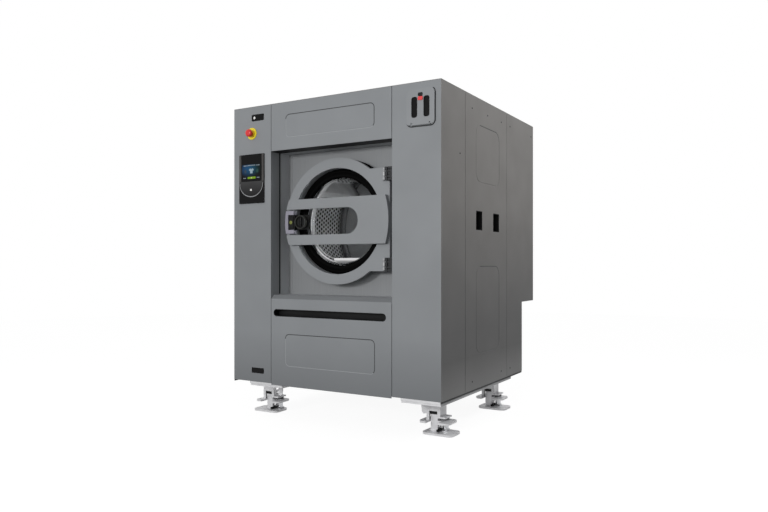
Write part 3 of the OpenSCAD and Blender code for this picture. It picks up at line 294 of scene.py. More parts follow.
def surface(name, light, dark, rough=0.45, spread=0.04, metal=0.0, grain=1.6, relief=0.012,
            patch=240, streak=0.0, level=0.5, fades=()):
    """A finish with fine relief, grain sizes in mm, and slow patches of tone and gloss.

    Each fade holds an axis, the place where the tint ends in a colour, where it starts to, and the colour."""
    material, node = fresh(name)
    place = node("TexCoord").outputs["Object"]
    sizes = grain if isinstance(grain, tuple) else [grain] * 3
    fine = node("Mapping", {"Vector": place, "Scale": [1000 / size for size in sizes]})
    grains = node("TexNoise", {"Vector": fine, "Scale": 1.0, "Detail": 3.0})
    slow = node("TexNoise", {"Vector": place, "Scale": 1000 / patch, "Detail": 2.0})
    tone = node("MapRange", {"Value": slow, "From Min": 0.3, "From Max": 0.7})
    if streak:
        lines = node("MapRange", {"Value": grains, "From Min": 0.3, "From Max": 0.7})
        tone = node("Mix", {0: streak, 2: tone, 3: lines}, data_type="FLOAT")
    tint = node("Mix", {0: tone, 6: shown(dark), 7: shown(light)}, data_type="RGBA")
    for axis, end, start, colour in fades:
        split = node("SeparateXYZ", [place]).outputs[axis]
        rise = node("MapRange", {"Value": split, "From Min": end, "From Max": start})
        tint = node("Mix", {0: rise, 6: shown(colour), 7: tint}, data_type="RGBA")
    gloss = node("MapRange", {"Value": tone, "To Min": rough + spread, "To Max": rough - spread})
    bump = node("Bump", {"Height": grains, "Strength": 1.0, "Distance": relief / 1000})
    shader = node("BsdfPrincipled", {"Base Color": tint, "Roughness": gloss, "Metallic": metal,
                                     "Specular IOR Level": level, "Normal": bump})
    node("OutputMaterial", {"Surface": shader})
    return material


def paint(finish):
    """The material of a finish, which is made once; a material stays itself."""
    if not isinstance(finish, str):
        return finish
    name, light, dark, values = FINISHES[finish]
    return bpy.data.materials.get(name) or surface(name, light, dark, **values)


def lit(node, colour, strength):
    """Ends a tree with a dark pane that gives off a colour."""
    shader = node("BsdfPrincipled", {
        "Base Color": (0.002, 0.002, 0.002, 1), "Roughness": 0.2, "Specular IOR Level": 0.1,
        "Emission Color": colour, "Emission Strength": strength})
    node("OutputMaterial", {"Surface": shader})


def glowing(name, colour, strength):
    """A lit mark behind a dark pane."""
    material, node = fresh(name)
    lit(node, shown(colour), strength)
    return material


def lit_display(x0):
    """Lit background of the touch screen: blue at the left, green at the right, black in the corners."""
    material, node = fresh("Lit display background")
    split = node("SeparateXYZ", [node("TexCoord").outputs["Object"]]).outputs
    across, up = (
        node("MapRange", {"Value": split[axis], "From Min": low, "From Max": high})
        for axis, low, high in (("X", (x0 - 73) / 1000, (x0 + 73) / 1000), ("Z", BASE + 1.21, BASE + 1.298)))
    tint = node("Mix", {0: across, 6: shown(("display", 1)), 7: linear("#08382c")}, data_type="RGBA")
    off = [node("Math SUBTRACT", pair) for pair in ((across, 0.42), (up, 0.72))]
    far = node("VectorMath LENGTH", [node("CombineXYZ", off)])
    glow = node("MapRange", {"Value": far, "From Min": 0.05, "From Max": 0.66, "To Min": 1.0, "To Max": 0.0},
                interpolation_type="SMOOTHSTEP")
    lit(node, node("Mix", {0: glow, 6: linear("#020406"), 7: tint}, data_type="RGBA"), 1.0)
    return material


def clear_glass():
    """Pressed clear glass: nearly invisible, reflections at its curved rim; lamps shine through it."""
    material, node = fresh("Clear door glass")
    place = node("TexCoord").outputs["Object"]
    cloud = node("TexNoise", {"Vector": place, "Scale": 9.0, "Detail": 1.0})
    tint = node("Mix", {0: cloud, 6: (0.95, 0.965, 0.965, 1), 7: (0.98, 0.985, 0.985, 1)},
                data_type="RGBA")
    glass = node("BsdfPrincipled", {
        "Base Color": tint, "Roughness": 0.0, "IOR": 1.12, "Transmission Weight": 1.0})
    through = node("BsdfTransparent", {"Color": (0.93, 0.95, 0.95, 1)})
    shadow = node("LightPath").outputs["Is Shadow Ray"]
    node("OutputMaterial", {"Surface": node("MixShader", (shadow, glass, through))})
    return material


# Mesh tools

def shown_as(name, mesh):
    """An object for the mesh, in the scene."""
    piece = bpy.data.objects.new(name, mesh)
    bpy.context.scene.collection.objects.link(piece)
    return piece


def put(name, bm, finish, angle=35):
    """Makes an object from a bmesh; edges sharper than the angle stay sharp."""
    bmesh.ops.remove_doubles(bm, verts=bm.verts, dist=SAME_POINT)
    bmesh.ops.recalc_face_normals(bm, faces=bm.faces)
    mesh = bpy.data.meshes.new(name)
    bm.to_mesh(mesh)
    bm.free()
    mesh.materials.append(paint(finish))
    mesh.shade_smooth()
    mesh.set_sharp_from_angle(angle=math.radians(angle))
    return shown_as(name, mesh)


def settled(piece):
    """Puts the modifiers' result in the piece's mesh and drops the modifiers."""
    bpy.context.view_layer.update()
    graph = bpy.context.evaluated_depsgraph_get()
    mesh = bpy.data.meshes.new_from_object(
        piece.evaluated_get(graph), preserve_all_data_layers=True, depsgraph=graph)
    piece.modifiers.clear()
    piece.data = mesh
    return piece


def rounded(piece, width, segments=2, angle=30):
    """Rounds the piece's sharp edges."""
    bevel = piece.modifiers.new("Rounded edges", "BEVEL")
    bevel.width = width
    bevel.segments = segments
    bevel.limit_method = "ANGLE"
    bevel.angle_limit = math.radians(angle)
    piece.modifiers.new("Even light on flats", "WEIGHTED_NORMAL").keep_sharp = True
    return settled(piece)


def dress(piece, body, slot, *nodes):
    """The piece rides on a body and stands for CAD nodes, which are hidden; the slot is not used."""
    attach(piece, body)
    if nodes:
        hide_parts(*nodes)
    return piece


def dress_soft(piece, node):
    """Puts a piece in place of a CAD node, which is hidden, with its placement baked into its mesh."""
    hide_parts(node)
    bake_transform(piece)


def softened(node, finish, width, segments=2, body="root", slot="cabinet_grey"):
    """A copy of a CAD node with rounded edges, in its place."""
    bm = bmesh.new()
    bm.from_mesh(NODES[node].data)
    bmesh.ops.remove_doubles(bm, verts=bm.verts, dist=SAME_POINT)
    bmesh.ops.dissolve_limit(bm, angle_limit=math.radians(0.2), verts=bm.verts, edges=bm.edges)
    mesh = bpy.data.meshes.new(node + "_edges")
    bm.to_mesh(mesh)
    bm.free()
    mesh.materials.clear()
    mesh.materials.append(paint(finish))
    mesh.shade_smooth()
    if mesh.attributes.get("custom_normal"):
        mesh.attributes.remove(mesh.attributes["custom_normal"])
    return dress(rounded(shown_as(node + "_soft", mesh), width, segments), body, slot, node)


def second_coat(piece, finish, chosen):
    """Gives the chosen faces of a piece another finish."""
    piece.data.materials.append(paint(finish))
    for face in piece.data.polygons:
        if chosen(face):
            face.material_index = 1


def coat(finish, *nodes):
    """Gives CAD nodes a better material in place."""
    for node in nodes:
        materials = NODES[node].data.materials
        for index in range(len(materials)):
            materials[index] = paint(finish)


def bridge(bm, rings, closed=False, bare=()):
    """Joins rings of points with faces, but for the bare edges; ends are capped unless the rings close."""
    if not closed:
        bm.faces.new(rings[0])
        bm.faces.new(rings[-1][::-1])
    for a, b in zip(rings, rings[1:] + (rings[:1] if closed else [])):
        for i in range(len(a)):
            k = (i + 1) % len(a)
            if i not in bare:
                bm.faces.new((a[i], b[i], b[k], a[k]))


def lathe(name, profile, finish, centre=(0, 0, AXIS_H), along="v", steps=144, angle=35):
    """Turns a closed profile of (radius, position) pairs in mm round the depth or the height."""
    bm = bmesh.new()
    rings = []
    for i in range(steps):
        a = 2 * math.pi * i / steps
        ring = []
        for r, t in profile:
            x, y = r * math.cos(a), r * math.sin(a)
            step = (x, t, y) if along == "v" else (x, y, t)
            ring.append(bm.verts.new(at(*(c + d for c, d in zip(centre, step)))))
        rings.append(ring)
    ends = [r for r, _ in profile]
    on_axis = [i for i, r in enumerate(ends) if r == 0 and ends[(i + 1) % len(ends)] == 0]
    bridge(bm, rings, True, on_axis)
    return put(name, bm, finish, angle)


def eased(profile, keep=(), passes=2):
    """A closed profile with its corners cut, but for the ones to keep."""
    marked = [(p, i in keep) for i, p in enumerate(profile)]
    for _ in range(passes):
        new = []
        for (p, sharp), (q, after) in zip(marked, marked[1:] + marked[:1]):
            new.append((p if sharp else (0.75 * p[0] + 0.25 * q[0], 0.75 * p[1] + 0.25 * q[1]), sharp))
            if not after:
                new.append(((0.25 * p[0] + 0.75 * q[0], 0.25 * p[1] + 0.75 * q[1]), False))
        marked = new
    return [p for p, _ in marked]


def prism(bm, outline, v0, v1):
    """Adds a flat outline of (x, h) in mm, thickened from v0 to v1."""
    bridge(bm, [[bm.verts.new(at(x, v, h)) for x, h in outline] for v in (v0, v1)])


def plate(name, outline, v0, v1, finish, edge=0.4, segments=2):
    """A flat plate with rounded edges."""
    bm = bmesh.new()
    prism(bm, outline, v0, v1)
    piece = put(name, bm, finish)
    return rounded(piece, edge / 1000, segments) if edge else piece


def blocks(name, boxes, finish, edge=0.6, segments=2):
    """Boxes given as x, v and h limits in mm, with rounded edges, as one piece."""
    bm = bmesh.new()
    for x0, x1, v0, v1, h0, h1 in boxes:
        prism(bm, [(x0, h0), (x1, h0), (x1, h1), (x0, h1)], v0, v1)
    return rounded(put(name, bm, finish), edge / 1000, segments)


def arc(x, h, angles, across, high=None):
    """Points round (x, h) at angles in degrees; an ellipse where high differs from across."""
    high = across if high is None else high
    return [(x + across * math.cos(math.radians(a)), h + high * math.sin(math.radians(a))) for a in angles]


def oblong(x, h, width, height, radius, steps=6):
    """Outline of a rectangle with round corners."""
    points = []
    for cx, cy, start in ((1, 1, 0), (-1, 1, 90), (-1, -1, 180), (1, -1, 270)):
        points += arc(x + cx * (width / 2 - radius), h + cy * (height / 2 - radius),
                      [start + 90 * i / steps for i in range(steps + 1)], radius)
    return points


def disc(x, h, radius, steps=32):
    """Outline of a circle."""
    return arc(x, h, [360 * i / steps for i in range(steps)], radius)


def ways(path):
    """The points of a path, each with the direction from the point before it to the one after."""
    for i, (x, h) in enumerate(path):
        (x0, h0), (x1, h1) = path[max(i - 1, 0)], path[min(i + 1, len(path) - 1)]
        size = math.hypot(x1 - x0, h1 - h0)
        yield x, h, (x1 - x0) / size, (h1 - h0) / size


def strip(name, path, depth, width, finish, side=0):
    """A thin strip along a path of (x, h) on the front, or of (v, h) on a side; depth is its bottom."""
    bm = bmesh.new()
    rings = []
    for a, h, along, up in ways(path):
        ring = []
        for way, d in ((0.5, depth - 0.1), (0.5, depth), (-0.5, depth), (-0.5, depth - 0.1)):
            b, c = a - way * width * up, h + way * width * along
            ring.append(bm.verts.new(at(side * (SIDE - d), b, c) if side else at(b, d, c)))
        rings.append(ring)
    bridge(bm, rings)
    return put(name, bm, finish)


def frame_plate(name, outer, inner, v0, v1, finish, edge=0.3):
    """A flat plate with a hole; outer and inner outlines have the same number of points."""
    bm = bmesh.new()
    bridge(bm, [[bm.verts.new(at(x, v, h)) for x, h in points]
                for points, v in ((outer, v0), (inner, v0), (inner, v1), (outer, v1))], True)
    return rounded(put(name, bm, finish), edge / 1000)


def tapered_rod(name, path, v, radius, finish, flat, sides=12):
    """A bar along a path of (x, h) at depth v, pressed flat in depth and thinner towards its ends."""
    bm = bmesh.new()
    rings = []
    for i, (x, h, along, up) in enumerate(ways(path)):
        r = radius * (0.3 + 0.7 * math.sin(math.pi * i / (len(path) - 1)))
        turns = [2 * math.pi * k / sides for k in range(sides)]
        rings.append([bm.verts.new(at(x - r * math.cos(a) * up, v + flat * radius * math.sin(a),
                                      h + r * math.cos(a) * along)) for a in turns])
    bridge(bm, rings)
    return put(name, bm, finish, 50)


# Repeated pieces, grown with geometry nodes

def tree_with(name, **sockets):
    """A geometry tree with named inputs: what adds its nodes, the given values and what ends it."""
    tree = bpy.data.node_groups.new(name, "GeometryNodeTree")
    tree.interface.new_socket("Geometry", in_out="INPUT", socket_type="NodeSocketGeometry")
    for kind, labels in dict(sockets, Material=["Material"]).items():
        for label in labels:
            tree.interface.new_socket(label, in_out="INPUT", socket_type="NodeSocket" + kind)
    tree.interface.new_socket("Geometry", in_out="OUTPUT", socket_type="NodeSocketGeometry")
    node = partial(add, tree)
    given = node("NodeGroupInput").outputs

    def end(instances):
        real = node("RealizeInstances", [instances])
        painted = node("SetMaterial", {"Geometry": real, "Material": given["Material"]})
        node("NodeGroupOutput", [painted])
        return tree
    return node, given, end


def grown(name, tree, values, mesh=None):
    """An object whose mesh the tree makes from the values."""
    piece = shown_as(name, mesh or bpy.data.meshes.new(name))
    modifier = piece.modifiers.new("Grown", "NODES")
    modifier.node_group = tree
    for socket in tree.interface.items_tree:
        if socket.item_type == "SOCKET" and socket.in_out == "INPUT" and socket.name in values:
            modifier[socket.identifier] = values[socket.name]
    return settled(piece)


def perforation_tree():
    """Rings of staggered hole rims inside a drum, or flat discs over the holes that are painted black as
    shade; left out where the three lifters stand.
    """
    node, given, end = tree_with(
        "Drum perforations", Int=["Around", "Rows"], Bool=["Plug"],
        Float=["Pitch", "Start", "Radius", "Hole", "Rim", "Axis height", "Lifter angle"])
    around, radius, hole, lifter = (given[name] for name in ("Around", "Radius", "Hole", "Lifter angle"))
    points = node("Points", {"Count": node("Math MULTIPLY", (around, given["Rows"]))})
    index = node("InputIndex")
    ring = node("Math FLOOR", (node("Math DIVIDE", (index, around)),))
    step = node("Math MODULO", (index, around))
    half = node("Math MULTIPLY", (node("Math MODULO", (ring, 2.0)), 0.5))
    turn = node("Math MULTIPLY", (node("Math DIVIDE", (node("Math ADD", (step, half)), around)), 2 * math.pi))
    x = node("Math MULTIPLY", (node("Math SINE", (turn,)), radius))
    y = node("Math ADD", (given["Start"], node("Math MULTIPLY", (ring, given["Pitch"]))))
    drop = node("Math MULTIPLY", (node("Math COSINE", (turn,)), radius))
    z = node("Math SUBTRACT", (given["Axis height"], drop))
    spot = node("CombineXYZ", (x, y, z))
    placed = node("SetPosition", {"Geometry": points, "Position": spot})
    facing = node("CombineXYZ", {1: node("Math MULTIPLY", (turn, -1.0))})
    kept = node("StoreNamedAttribute", {"Geometry": placed, "Name": "facing", "Value": facing},
                data_type="FLOAT_VECTOR", domain="POINT")
    third = node("Math MODULO", (node("Math ADD", (turn, lifter)), 2 * math.pi / 3))
    under = node("Compare LESS_THAN", (third, node("Math MULTIPLY", (lifter, 2.0))))
    left = node("DeleteGeometry", {"Geometry": kept, "Selection": under}, domain="POINT")
    cone = node("MeshCone", {"Vertices": 10, "Side Segments": 1, "Radius Top": hole,
                             "Radius Bottom": given["Rim"], "Depth": 0.0011}, fill_type="NONE")
    cover = node("MeshCircle", {"Vertices": 10, "Radius": hole}, fill_type="NGON")
    lifted = node("Transform", {"Geometry": cover, "Translation": (0, 0, 0.0006)})
    shape = node("Switch", {"Switch": given["Plug"], "False": cone, "True": lifted},
                 input_type="GEOMETRY")
    stored = node("InputNamedAttribute", {"Name": "facing"}, data_type="FLOAT_VECTOR")
    turned = node("EulerToRotation", [stored])
    return end(node("InstanceOnPoints", {"Points": left, "Instance": shape, "Rotation": turned}))


def fastener_tree():
    """A domed head, or its hexagon socket, on each point, turned to the point's facing."""
    node, given, end = tree_with("Domed fasteners", Float=["Radius", "Height"], Bool=["Socket"])
    radius, height = given["Radius"], given["Height"]
    foot = node("Math MULTIPLY", (height, 0.5))
    base = node("MeshCylinder", {"Vertices": 20, "Radius": radius, "Depth": foot})
    dome = node("MeshCone", {"Vertices": 20, "Side Segments": 1, "Depth": foot, "Radius Bottom": radius,
                             "Radius Top": node("Math MULTIPLY", (radius, 0.62))})
    key = node("MeshCylinder", {
        "Vertices": 6, "Depth": 0.0002, "Radius": node("Math MULTIPLY", (radius, 0.4))})
    body, raised, hexagon = (
        node("Transform", {"Geometry": solid, "Translation": node("CombineXYZ", {2: up})})
        for solid, up in ((base, node("Math MULTIPLY", (height, 0.25))), (dome, foot), (key, height)))
    head = node("JoinGeometry", [body])
    head.id_data.links.new(raised.outputs[0], head.inputs[0])
    shape = node("Switch", {"Switch": given["Socket"], "False": head, "True": hexagon},
                 input_type="GEOMETRY")
    stored = node("InputNamedAttribute", {"Name": "facing"}, data_type="FLOAT_VECTOR")
    turned = node("AlignRotationToVector", {"Vector": stored}, axis="Z")
    return end(node("InstanceOnPoints", {
        "Points": given["Geometry"], "Instance": shape, "Rotation": turned}))


def spring_tree():
    """A helical wire spring on each point."""
    node, given, end = tree_with("Wire springs", Float=["Turns", "Coil", "Wire", "Height"])
    path = node("CurveSpiral", {
        "Resolution": 24, "Rotations": given["Turns"], "Start Radius": given["Coil"],
        "End Radius": given["Coil"], "Height": given["Height"]})
    section = node("CurvePrimitiveCircle", {"Resolution": 10, "Radius": given["Wire"]})
    wire = node("CurveToMesh", {"Curve": path, "Profile Curve": section, "Fill Caps": True})
    return end(node("InstanceOnPoints", {"Points": given["Geometry"], "Instance": wire}))


def dots(name, spots):
    """A mesh of loose points, each with the direction that it faces."""
    mesh = bpy.data.meshes.new(name)
    mesh.from_pydata([at(*spot) for spot, _ in spots], [], [])
    facing = mesh.attributes.new("facing", "FLOAT_VECTOR", "POINT")
    for item, (_, way) in zip(facing.data, spots):
        item.vector = way
    return mesh


def fasteners(name, spots, radius, height, finish, slot, *nodes):
    """Domed heads with dark sockets at the spots."""
    tree = bpy.data.node_groups.get("Domed fasteners") or fastener_tree()
    for socket, part, look in ((False, f"{name}_heads", finish), (True, f"{name}_sockets", "black")):
        piece = grown(part, tree, {"Radius": radius / 1000, "Height": height / 1000, "Socket": socket,
                                   "Material": paint(look)}, dots(part, spots))
        piece.data.shade_smooth()
        piece.data.set_sharp_from_angle(angle=math.radians(35))
        dress(piece, "root", slot, *(() if socket else nodes))


# Steps of the build

SIDES = ((-1, "left"), (1, "right"))


def faces_sideways(x):
    """A test for faces beyond x metres from the middle that look to a side."""
    return lambda face: abs(face.normal.x) > 0.7 and abs(face.center.x) > x


class WasherStep(bpy.types.Operator):
    """One group of pieces."""
    bl_options = {"REGISTER", "UNDO"}


class WASHER_OT_cabinet(WasherStep):
    """Front panels, side panels, roof and their screws"""
    bl_idname = "washer.cabinet"
    bl_label = "Cabinet"

    def execute(self, context):
        edge = context.scene.washer_edges.sheet
        for node in ("left_column", "right_column", "top_panel", "lower_panel"):
            second_coat(softened(node, "panel", edge), "side", faces_sideways(0.69))
        hems = [(*sorted((side * 690.5, side * 692.5)), 3, 1192, 4, 13) for side, _ in SIDES]
        dress(blocks("side_hems", hems, "hem", 0.2), "root", "side_grey")
        for name, h, wide, high in (("top", 1501.25, 595, 129.5), ("lower", 213, 600, 182)):
            line = oblong(0, h, wide, high, 25.5)
            for look, path, width in (("shadow", line[24:] + line[:14], 5), ("light", line[13:25], 4)):
                dress(strip(f"press_{look}_{name}", path, 1.15, width, f"press {look}"), "root",
                      "cabinet_grey")
        for side, name in SIDES:
            for low, high in ((1166, 1492), (203, 697)):
                line = oblong(619.5, (low + high) / 2, 351, high - low - 5, 57.5)
                path = line[26:] + line[:8]
                dress(strip(f"press_shadow_{name}_{low}", path, 1.15, 5, "press shadow", side), "root",
                      "side_grey")
        for node in ("left_mid_panel", "right_mid_panel", "rear_side_panels", "roof_panel",
                     "rear_lower_panel", "rear_upper_panel"):
            softened(node, "side", edge * 0.8, slot="side_grey")
        coat("black", "slot_liner", "side_vents")
        coat("zinc", "cabinet_frame")
        rows = [(v, 1565) for v in (390, 613, 830, 980, 1380)] + [(v, 60) for v in (390, 830, 980)]
        spots = [((side * 691.7, v, h), (side, 0, 0)) for side, _ in SIDES for v, h in [(228, 1295)] + rows]
        fasteners("side_screw", spots, 5, 2, "dark", "stainless", "panel_screws")
        back = [((x, 1422.9, h), (0, 1, 0)) for x in (-640, -213, 213, 640) for h in (500, 1040, 1600)]
        back += [((x, 1200, h), (0, 1, 0)) for x in (-640, -100, 200, 640) for h in (30, 430)]
        fasteners("rear_screw", back, 5, 2, "steel", "stainless")
        return {"FINISHED"}


class WASHER_OT_recess(WasherStep):
    """Sleeve round the door, plate behind it and the door seal"""
    bl_idname = "washer.recess"
    bl_label = "Door recess"

    def execute(self, context):
        edge = context.scene.washer_edges.sheet * 0.8
        softened("recess_frame", "sleeve", edge)
        softened("front_plate", "recess", edge)
        # Painted light and shade: a pale strip on the plate's left edge, in the tone of its half-shade
        dress(blocks("recess_strip", [(-406.5, -381, 168, 170.5, 530, 1363)], "recess strip", 0.5), "root",
              "cabinet_grey")
        # Painted shadow: black strips under the top panel's edge and beside the left column, where the recess
        # lies in shadow
        gap = [(-406, 406, 2.5, 83, 1362, 1364.7), (-406.4, -404.2, 75, 83.5, 533, 1362)]
        dress(blocks("shadow_gap", gap, "rubber", 0.2), "root", "black_rubber")
        sill = (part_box("lower_panel")[1].z - BASE) * 1000
        slope = [(0.5, sill - 23.6), (24.6, sill + 0.3), (25, sill - 0.4), (0.8, sill - 24.4)]
        bm = bmesh.new()
        bridge(bm, [[bm.verts.new(at(side * (405.5 - 0.45 * v), v, h)) for v, h in slope]
                    for side, _ in SIDES])
        dress(put("sill_slope", bm, "sill"), "root", "cabinet_grey")
        fold = [(300, 164), (317, 160), (333, 164), (333, 170), (305, 170), (305, 173), (343, 173.4),
                (343, 178), (311, 180), (306, 189), (337, 197), (337, 211.7), (317, 218.7), (317, 223.7),
                (309, 223.7), (309, 214.7), (331, 208.7), (331, 201), (300, 192), (300, 178)]
        fold = [(r, max(v, 164)) for r, v in eased(fold, keep=(3, 4, 5, 6, 12, 13, 14))]
        seal = lathe("door_seal_fold", fold, "rubber", steps=160)
        dress_soft(seal, "tub_bellows")
        return {"FINISHED"}


class WASHER_OT_door(WasherStep):
    """Door ring, gasket, glass bowl and handle band"""
    bl_idname = "washer.door"
    bl_label = "Door"

    def execute(self, context):
        edges = context.scene.washer_edges
        softened("door_frame", "door", edges.door, 4, body="door")
        softened("door_band", "door", edges.band, 4, body="door")
        lip = eased([(249, 124), (252, 117), (262, 114.5), (276, 119), (282, 121), (285, 119.5), (290, 121),
                     (299, 126), (299, 140), (249, 140)], keep=(7, 8, 9))
        dress(lathe("window_gasket_lip", lip, "gasket", steps=180), "door", "black_rubber", "window_gasket")
        bowl = [(292, 140), (292, 148), (247, 148), (245, 160), (241, 190), (236, 201), (225, 208),
                (203, 215), (167, 218), (140, 219.2), (70, 219.8), (0, 220), (0, 216.5), (70, 216.3),
                (140, 215.7), (166, 214.4), (202, 211.3), (223, 204.4), (232.8, 198.5), (237.6, 188.5),
                (241.6, 160), (243.4, 140)]
        dress(lathe("door_bowl", bowl, clear_glass(), steps=180, angle=60), "door", "glass", "door_glass")
        # Painted reflections: two pale tapered arcs on the bowl's lower left stand for light that its curved
        # glass reflects
        for name, r, size, start, end in (("outer", 234, 5.5, 205, 262), ("inner", 218, 2.5, 208, 256)):
            path = arc(0, AXIS_H, range(start, end + 1, 3), r)
            dress(tapered_rod(f"bowl_bead_{name}", path, 146, size, "lip", 0.8), "door", "stainless")
        # Painted reflection: a white lens-shaped plate in the bowl's foot stands for the floor mirrored in
        # the curved glass
        tray = [(-66, 742)] + arc(0, AXIS_H, range(299, 256, -3), 236)
        dress(plate("bowl_drip_tray", tray, 146, 148, "tray", 0.4), "door", "stainless")
        # Painted shade: a black arc behind the upper half of the ring stands for the dark line of shadow
        # round its edge
        back = (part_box("door_frame")[1].y - FRONT) * 1000
        lip = arc(0, AXIS_H, range(40, 151, 2), 355) + arc(0, AXIS_H, range(150, 39, -2), 336)
        dress(plate("door_back_seal", lip, back + 0.4, back + 2.4, "gasket", 0.3), "door", "black_rubber")
        return {"FINISHED"}


class WASHER_OT_latch(WasherStep):
    """Latch cover, lock block with its light, knob, bolt and keeper"""
    bl_idname = "washer.latch"
    bl_label = "Door latch"

    def execute(self, context):
        h = AXIS_H
        cover = [(-math.sqrt(339.6 ** 2 - z * z), h + z) for z in range(66, -67, -6)]
        notch = ((-276, -66), (-276, -43), (-317, -43), (-317, 43), (-276, 43), (-276, 66))
        cover = plate("latch_cover", cover + [(x, h + z) for x, z in notch], 45, 78, "latch cover", 2.0, 3)
        dress(cover, "door", "cabinet_grey", "latch_housing")
        lock = [(-306, -272, 50, 71, h - 44, h + 44), (-314, -280, 46, 60, h - 34, h + 34),
                (-306, -183, 70, 78, h - 42, h + 42)]
        lock += [(-339, -306, 70, 78, h + a, h + b) for a, b in ((-42, -7.5), (7.5, 42))]
        lock += [(-317, -306, 50, 71, h + a, h + b) for a, b in ((-44, -7.5), (7.5, 44))]
        dress(blocks("lock_block", lock, "black", 1.2, 3), "door", "black_plastic")
        light = lathe("lock_light", [(0, 0), (7, 0.5), (9.5, 1.8), (10.5, 4), (0, 4)],
                      glowing("Lock light", "#a3ab5a", 0.42), (-297, 42.5, h), steps=24)
        dress(light, "door", "yellow_plastic")
        ring = eased([(38, 42), (38, 60), (34, 60), (33, 44), (35, 40), (37, 40)])
        dress(lathe("knob_ring", ring, "knob ring", (-227, 0, h), steps=64), "latch_knob", "black_plastic",
              "latch_knob")
        face = [(0, 50), (29, 50), (32, 53), (32, 69.7), (6, 69.7), (6, 77.7), (0, 77.7)]
        dress(lathe("knob_face", face, "black", (-227, 0, h), steps=64), "latch_knob", "black_plastic")
        grip = blocks("knob_grip", [(-234, -220, 42, 54, h - 31, h + 31)], "gloss black", 3.0, 3)
        dress(grip, "latch_knob", "black_plastic")
        coat("steel", "latch_bolt", "latch_keeper")
        return {"FINISHED"}


class WASHER_OT_hinges(WasherStep):
    """Door hinges with their bolts"""
    bl_idname = "washer.hinges"
    bl_label = "Hinges"

    def execute(self, context):
        softened("hinge_brackets", "dark", 0.0012, slot="dark_steel")
        leaves = softened("hinge_leaves", "door", 0.001, body="door")
        second_coat(leaves, "dark", lambda face: face.center.x > 0.3475)
        half = [(0, 35), (5, 34), (8.5, 30), (8.5, 23), (5, 18), (4, 15), (4, 13), (7.5, 11), (8, 8)]
        pin = eased([(r, -t) for r, t in half] + half[::-1], keep=(0, 17), passes=1)
        for side, name in ((1, "upper"), (-1, "lower")):
            h = AXIS_H + HINGE_H * side
            dress(lathe(f"hinge_pin_{name}", pin, "pin", (323, 61, h), "h", steps=32), "door", "stainless")
            arm = [(334, 349, 50, 66, h + a, h + b) for a, b in ((-36, -18), (-10, 10), (18, 36))]
            arm += [(352, 378, 52, 66, h + a, h + b) for a, b in ((-22, -9), (-5, 5), (9, 22))]
            arm += [(352, 376, 56, 66, h - 21, h + 21), (334, 350, 57, 69.5, h - 34, h + 34)]
            dress(blocks(f"hinge_arm_{name}", arm, "dark", 1.2), "door", "dark_steel")
            cheeks = [(351, 378, 51, 68, h + a, h + b) for a, b in ((-36, -24), (24, 36))]
            dress(blocks(f"hinge_cheeks_{name}", cheeks, "dark", 1.0), "root", "dark_steel")
        spots = [((401, 30, AXIS_H + HINGE_H * s + z), (-1, 0, 0)) for s in (-1, 1) for z in (-26, 26)]
        fasteners("hinge_bolt", spots, 5, 4, "steel", "stainless")
        return {"FINISHED"}


class WASHER_OT_drum(WasherStep):
    """Perforated drum, lifters and the polished mouth"""
    bl_idname = "washer.drum"
    bl_label = "Drum"

    def execute(self, context):
        sizes = context.scene.washer_drum
        wall = [(313, 262), (488, 262), (496, 264), (500, 272), (500, 874), (496, 880), (488, 882), (0, 882),
                (0, 879), (462, 879), (476, 876), (488, 867), (495, 855), (497, 842), (497, 276), (494, 269),
                (487, 265), (313, 265)]
        dress(lathe("drum_wall", wall, "drum", steps=218), "drum", "drum_steel", "drum_shell")
        rear = [(0, 873), (464, 873), (466, 875), (466, 878.6), (0, 878.6)]
        dress(lathe("drum_rear", rear, "drum rear"), "drum", "drum_steel")
        lip = eased([(313, 256), (310, 252), (306, 252), (305, 256), (305, 292), (308, 292), (308, 266),
                     (313, 264)], keep=(4, 5))
        dress(lathe("drum_mouth", lip, "lip", steps=160), "drum", "drum_steel")
        tree = perforation_tree()
        values = {"Around": sizes.around, "Rows": sizes.rows, "Pitch": sizes.pitch,
                  "Start": FRONT + sizes.start, "Radius": sizes.radius - 0.0005, "Hole": sizes.hole,
                  "Rim": sizes.rim, "Axis height": BASE + AXIS_H / 1000, "Lifter angle": 0.165}
        # Painted shade: the second pass lays black discs over the holes for the dark gap behind them
        for name, shade_disc, finish in (("drum_hole_rims", False, "drum"), ("drum_holes", True, "gap")):
            dress(grown(name, tree, dict(values, Plug=shade_disc, Material=paint(finish))), "drum", "drum_steel")
        softened("drum_lifters", "drum", 0.003, 3, body="drum", slot="drum_steel")
        coat("steel", "drum_shaft", "tub_shell", "tub_cradle", "tub_front", "shaft_bearings", "motor_rotor")
        coat("iron", "bearing_housing", "driven_pulley")
        coat("rubber", "drive_belts")
        coat("motor", "motor_body")
        return {"FINISHED"}


class WASHER_OT_suspension(WasherStep):
    """Springs, dampers and the hose under the tub"""
    bl_idname = "washer.suspension"
    bl_label = "Suspension"

    def execute(self, context):
        sizes = context.scene.washer_springs
        spots = [((side * 515, v, 107), (0, 0, 1)) for side, _ in SIDES for v in (330, 800)]
        wires = grown("spring_wires", spring_tree(), {
            "Turns": sizes.turns, "Coil": sizes.coil, "Wire": sizes.wire, "Height": 0.126,
            "Material": paint("dark")}, dots("spring_spots", spots))
        wires.data.shade_smooth()
        dress_soft(wires, "suspension_springs")
        ribs = [(40, 210)]
        for h in range(213, 358, 12):
            ribs += [(41, h), (44, h + 3), (44, h + 6), (41, h + 9)]
        ribs += [(40, 369), (36, 369), (36, 210)]
        hose = lathe("drain_hose_ribs", ribs, "rubber", (-250, 500, 0), "h", steps=48)
        dress_soft(hose, "drain_hose")
        coat("dark", "damper_bodies")
        coat("steel", "damper_rods")
        return {"FINISHED"}


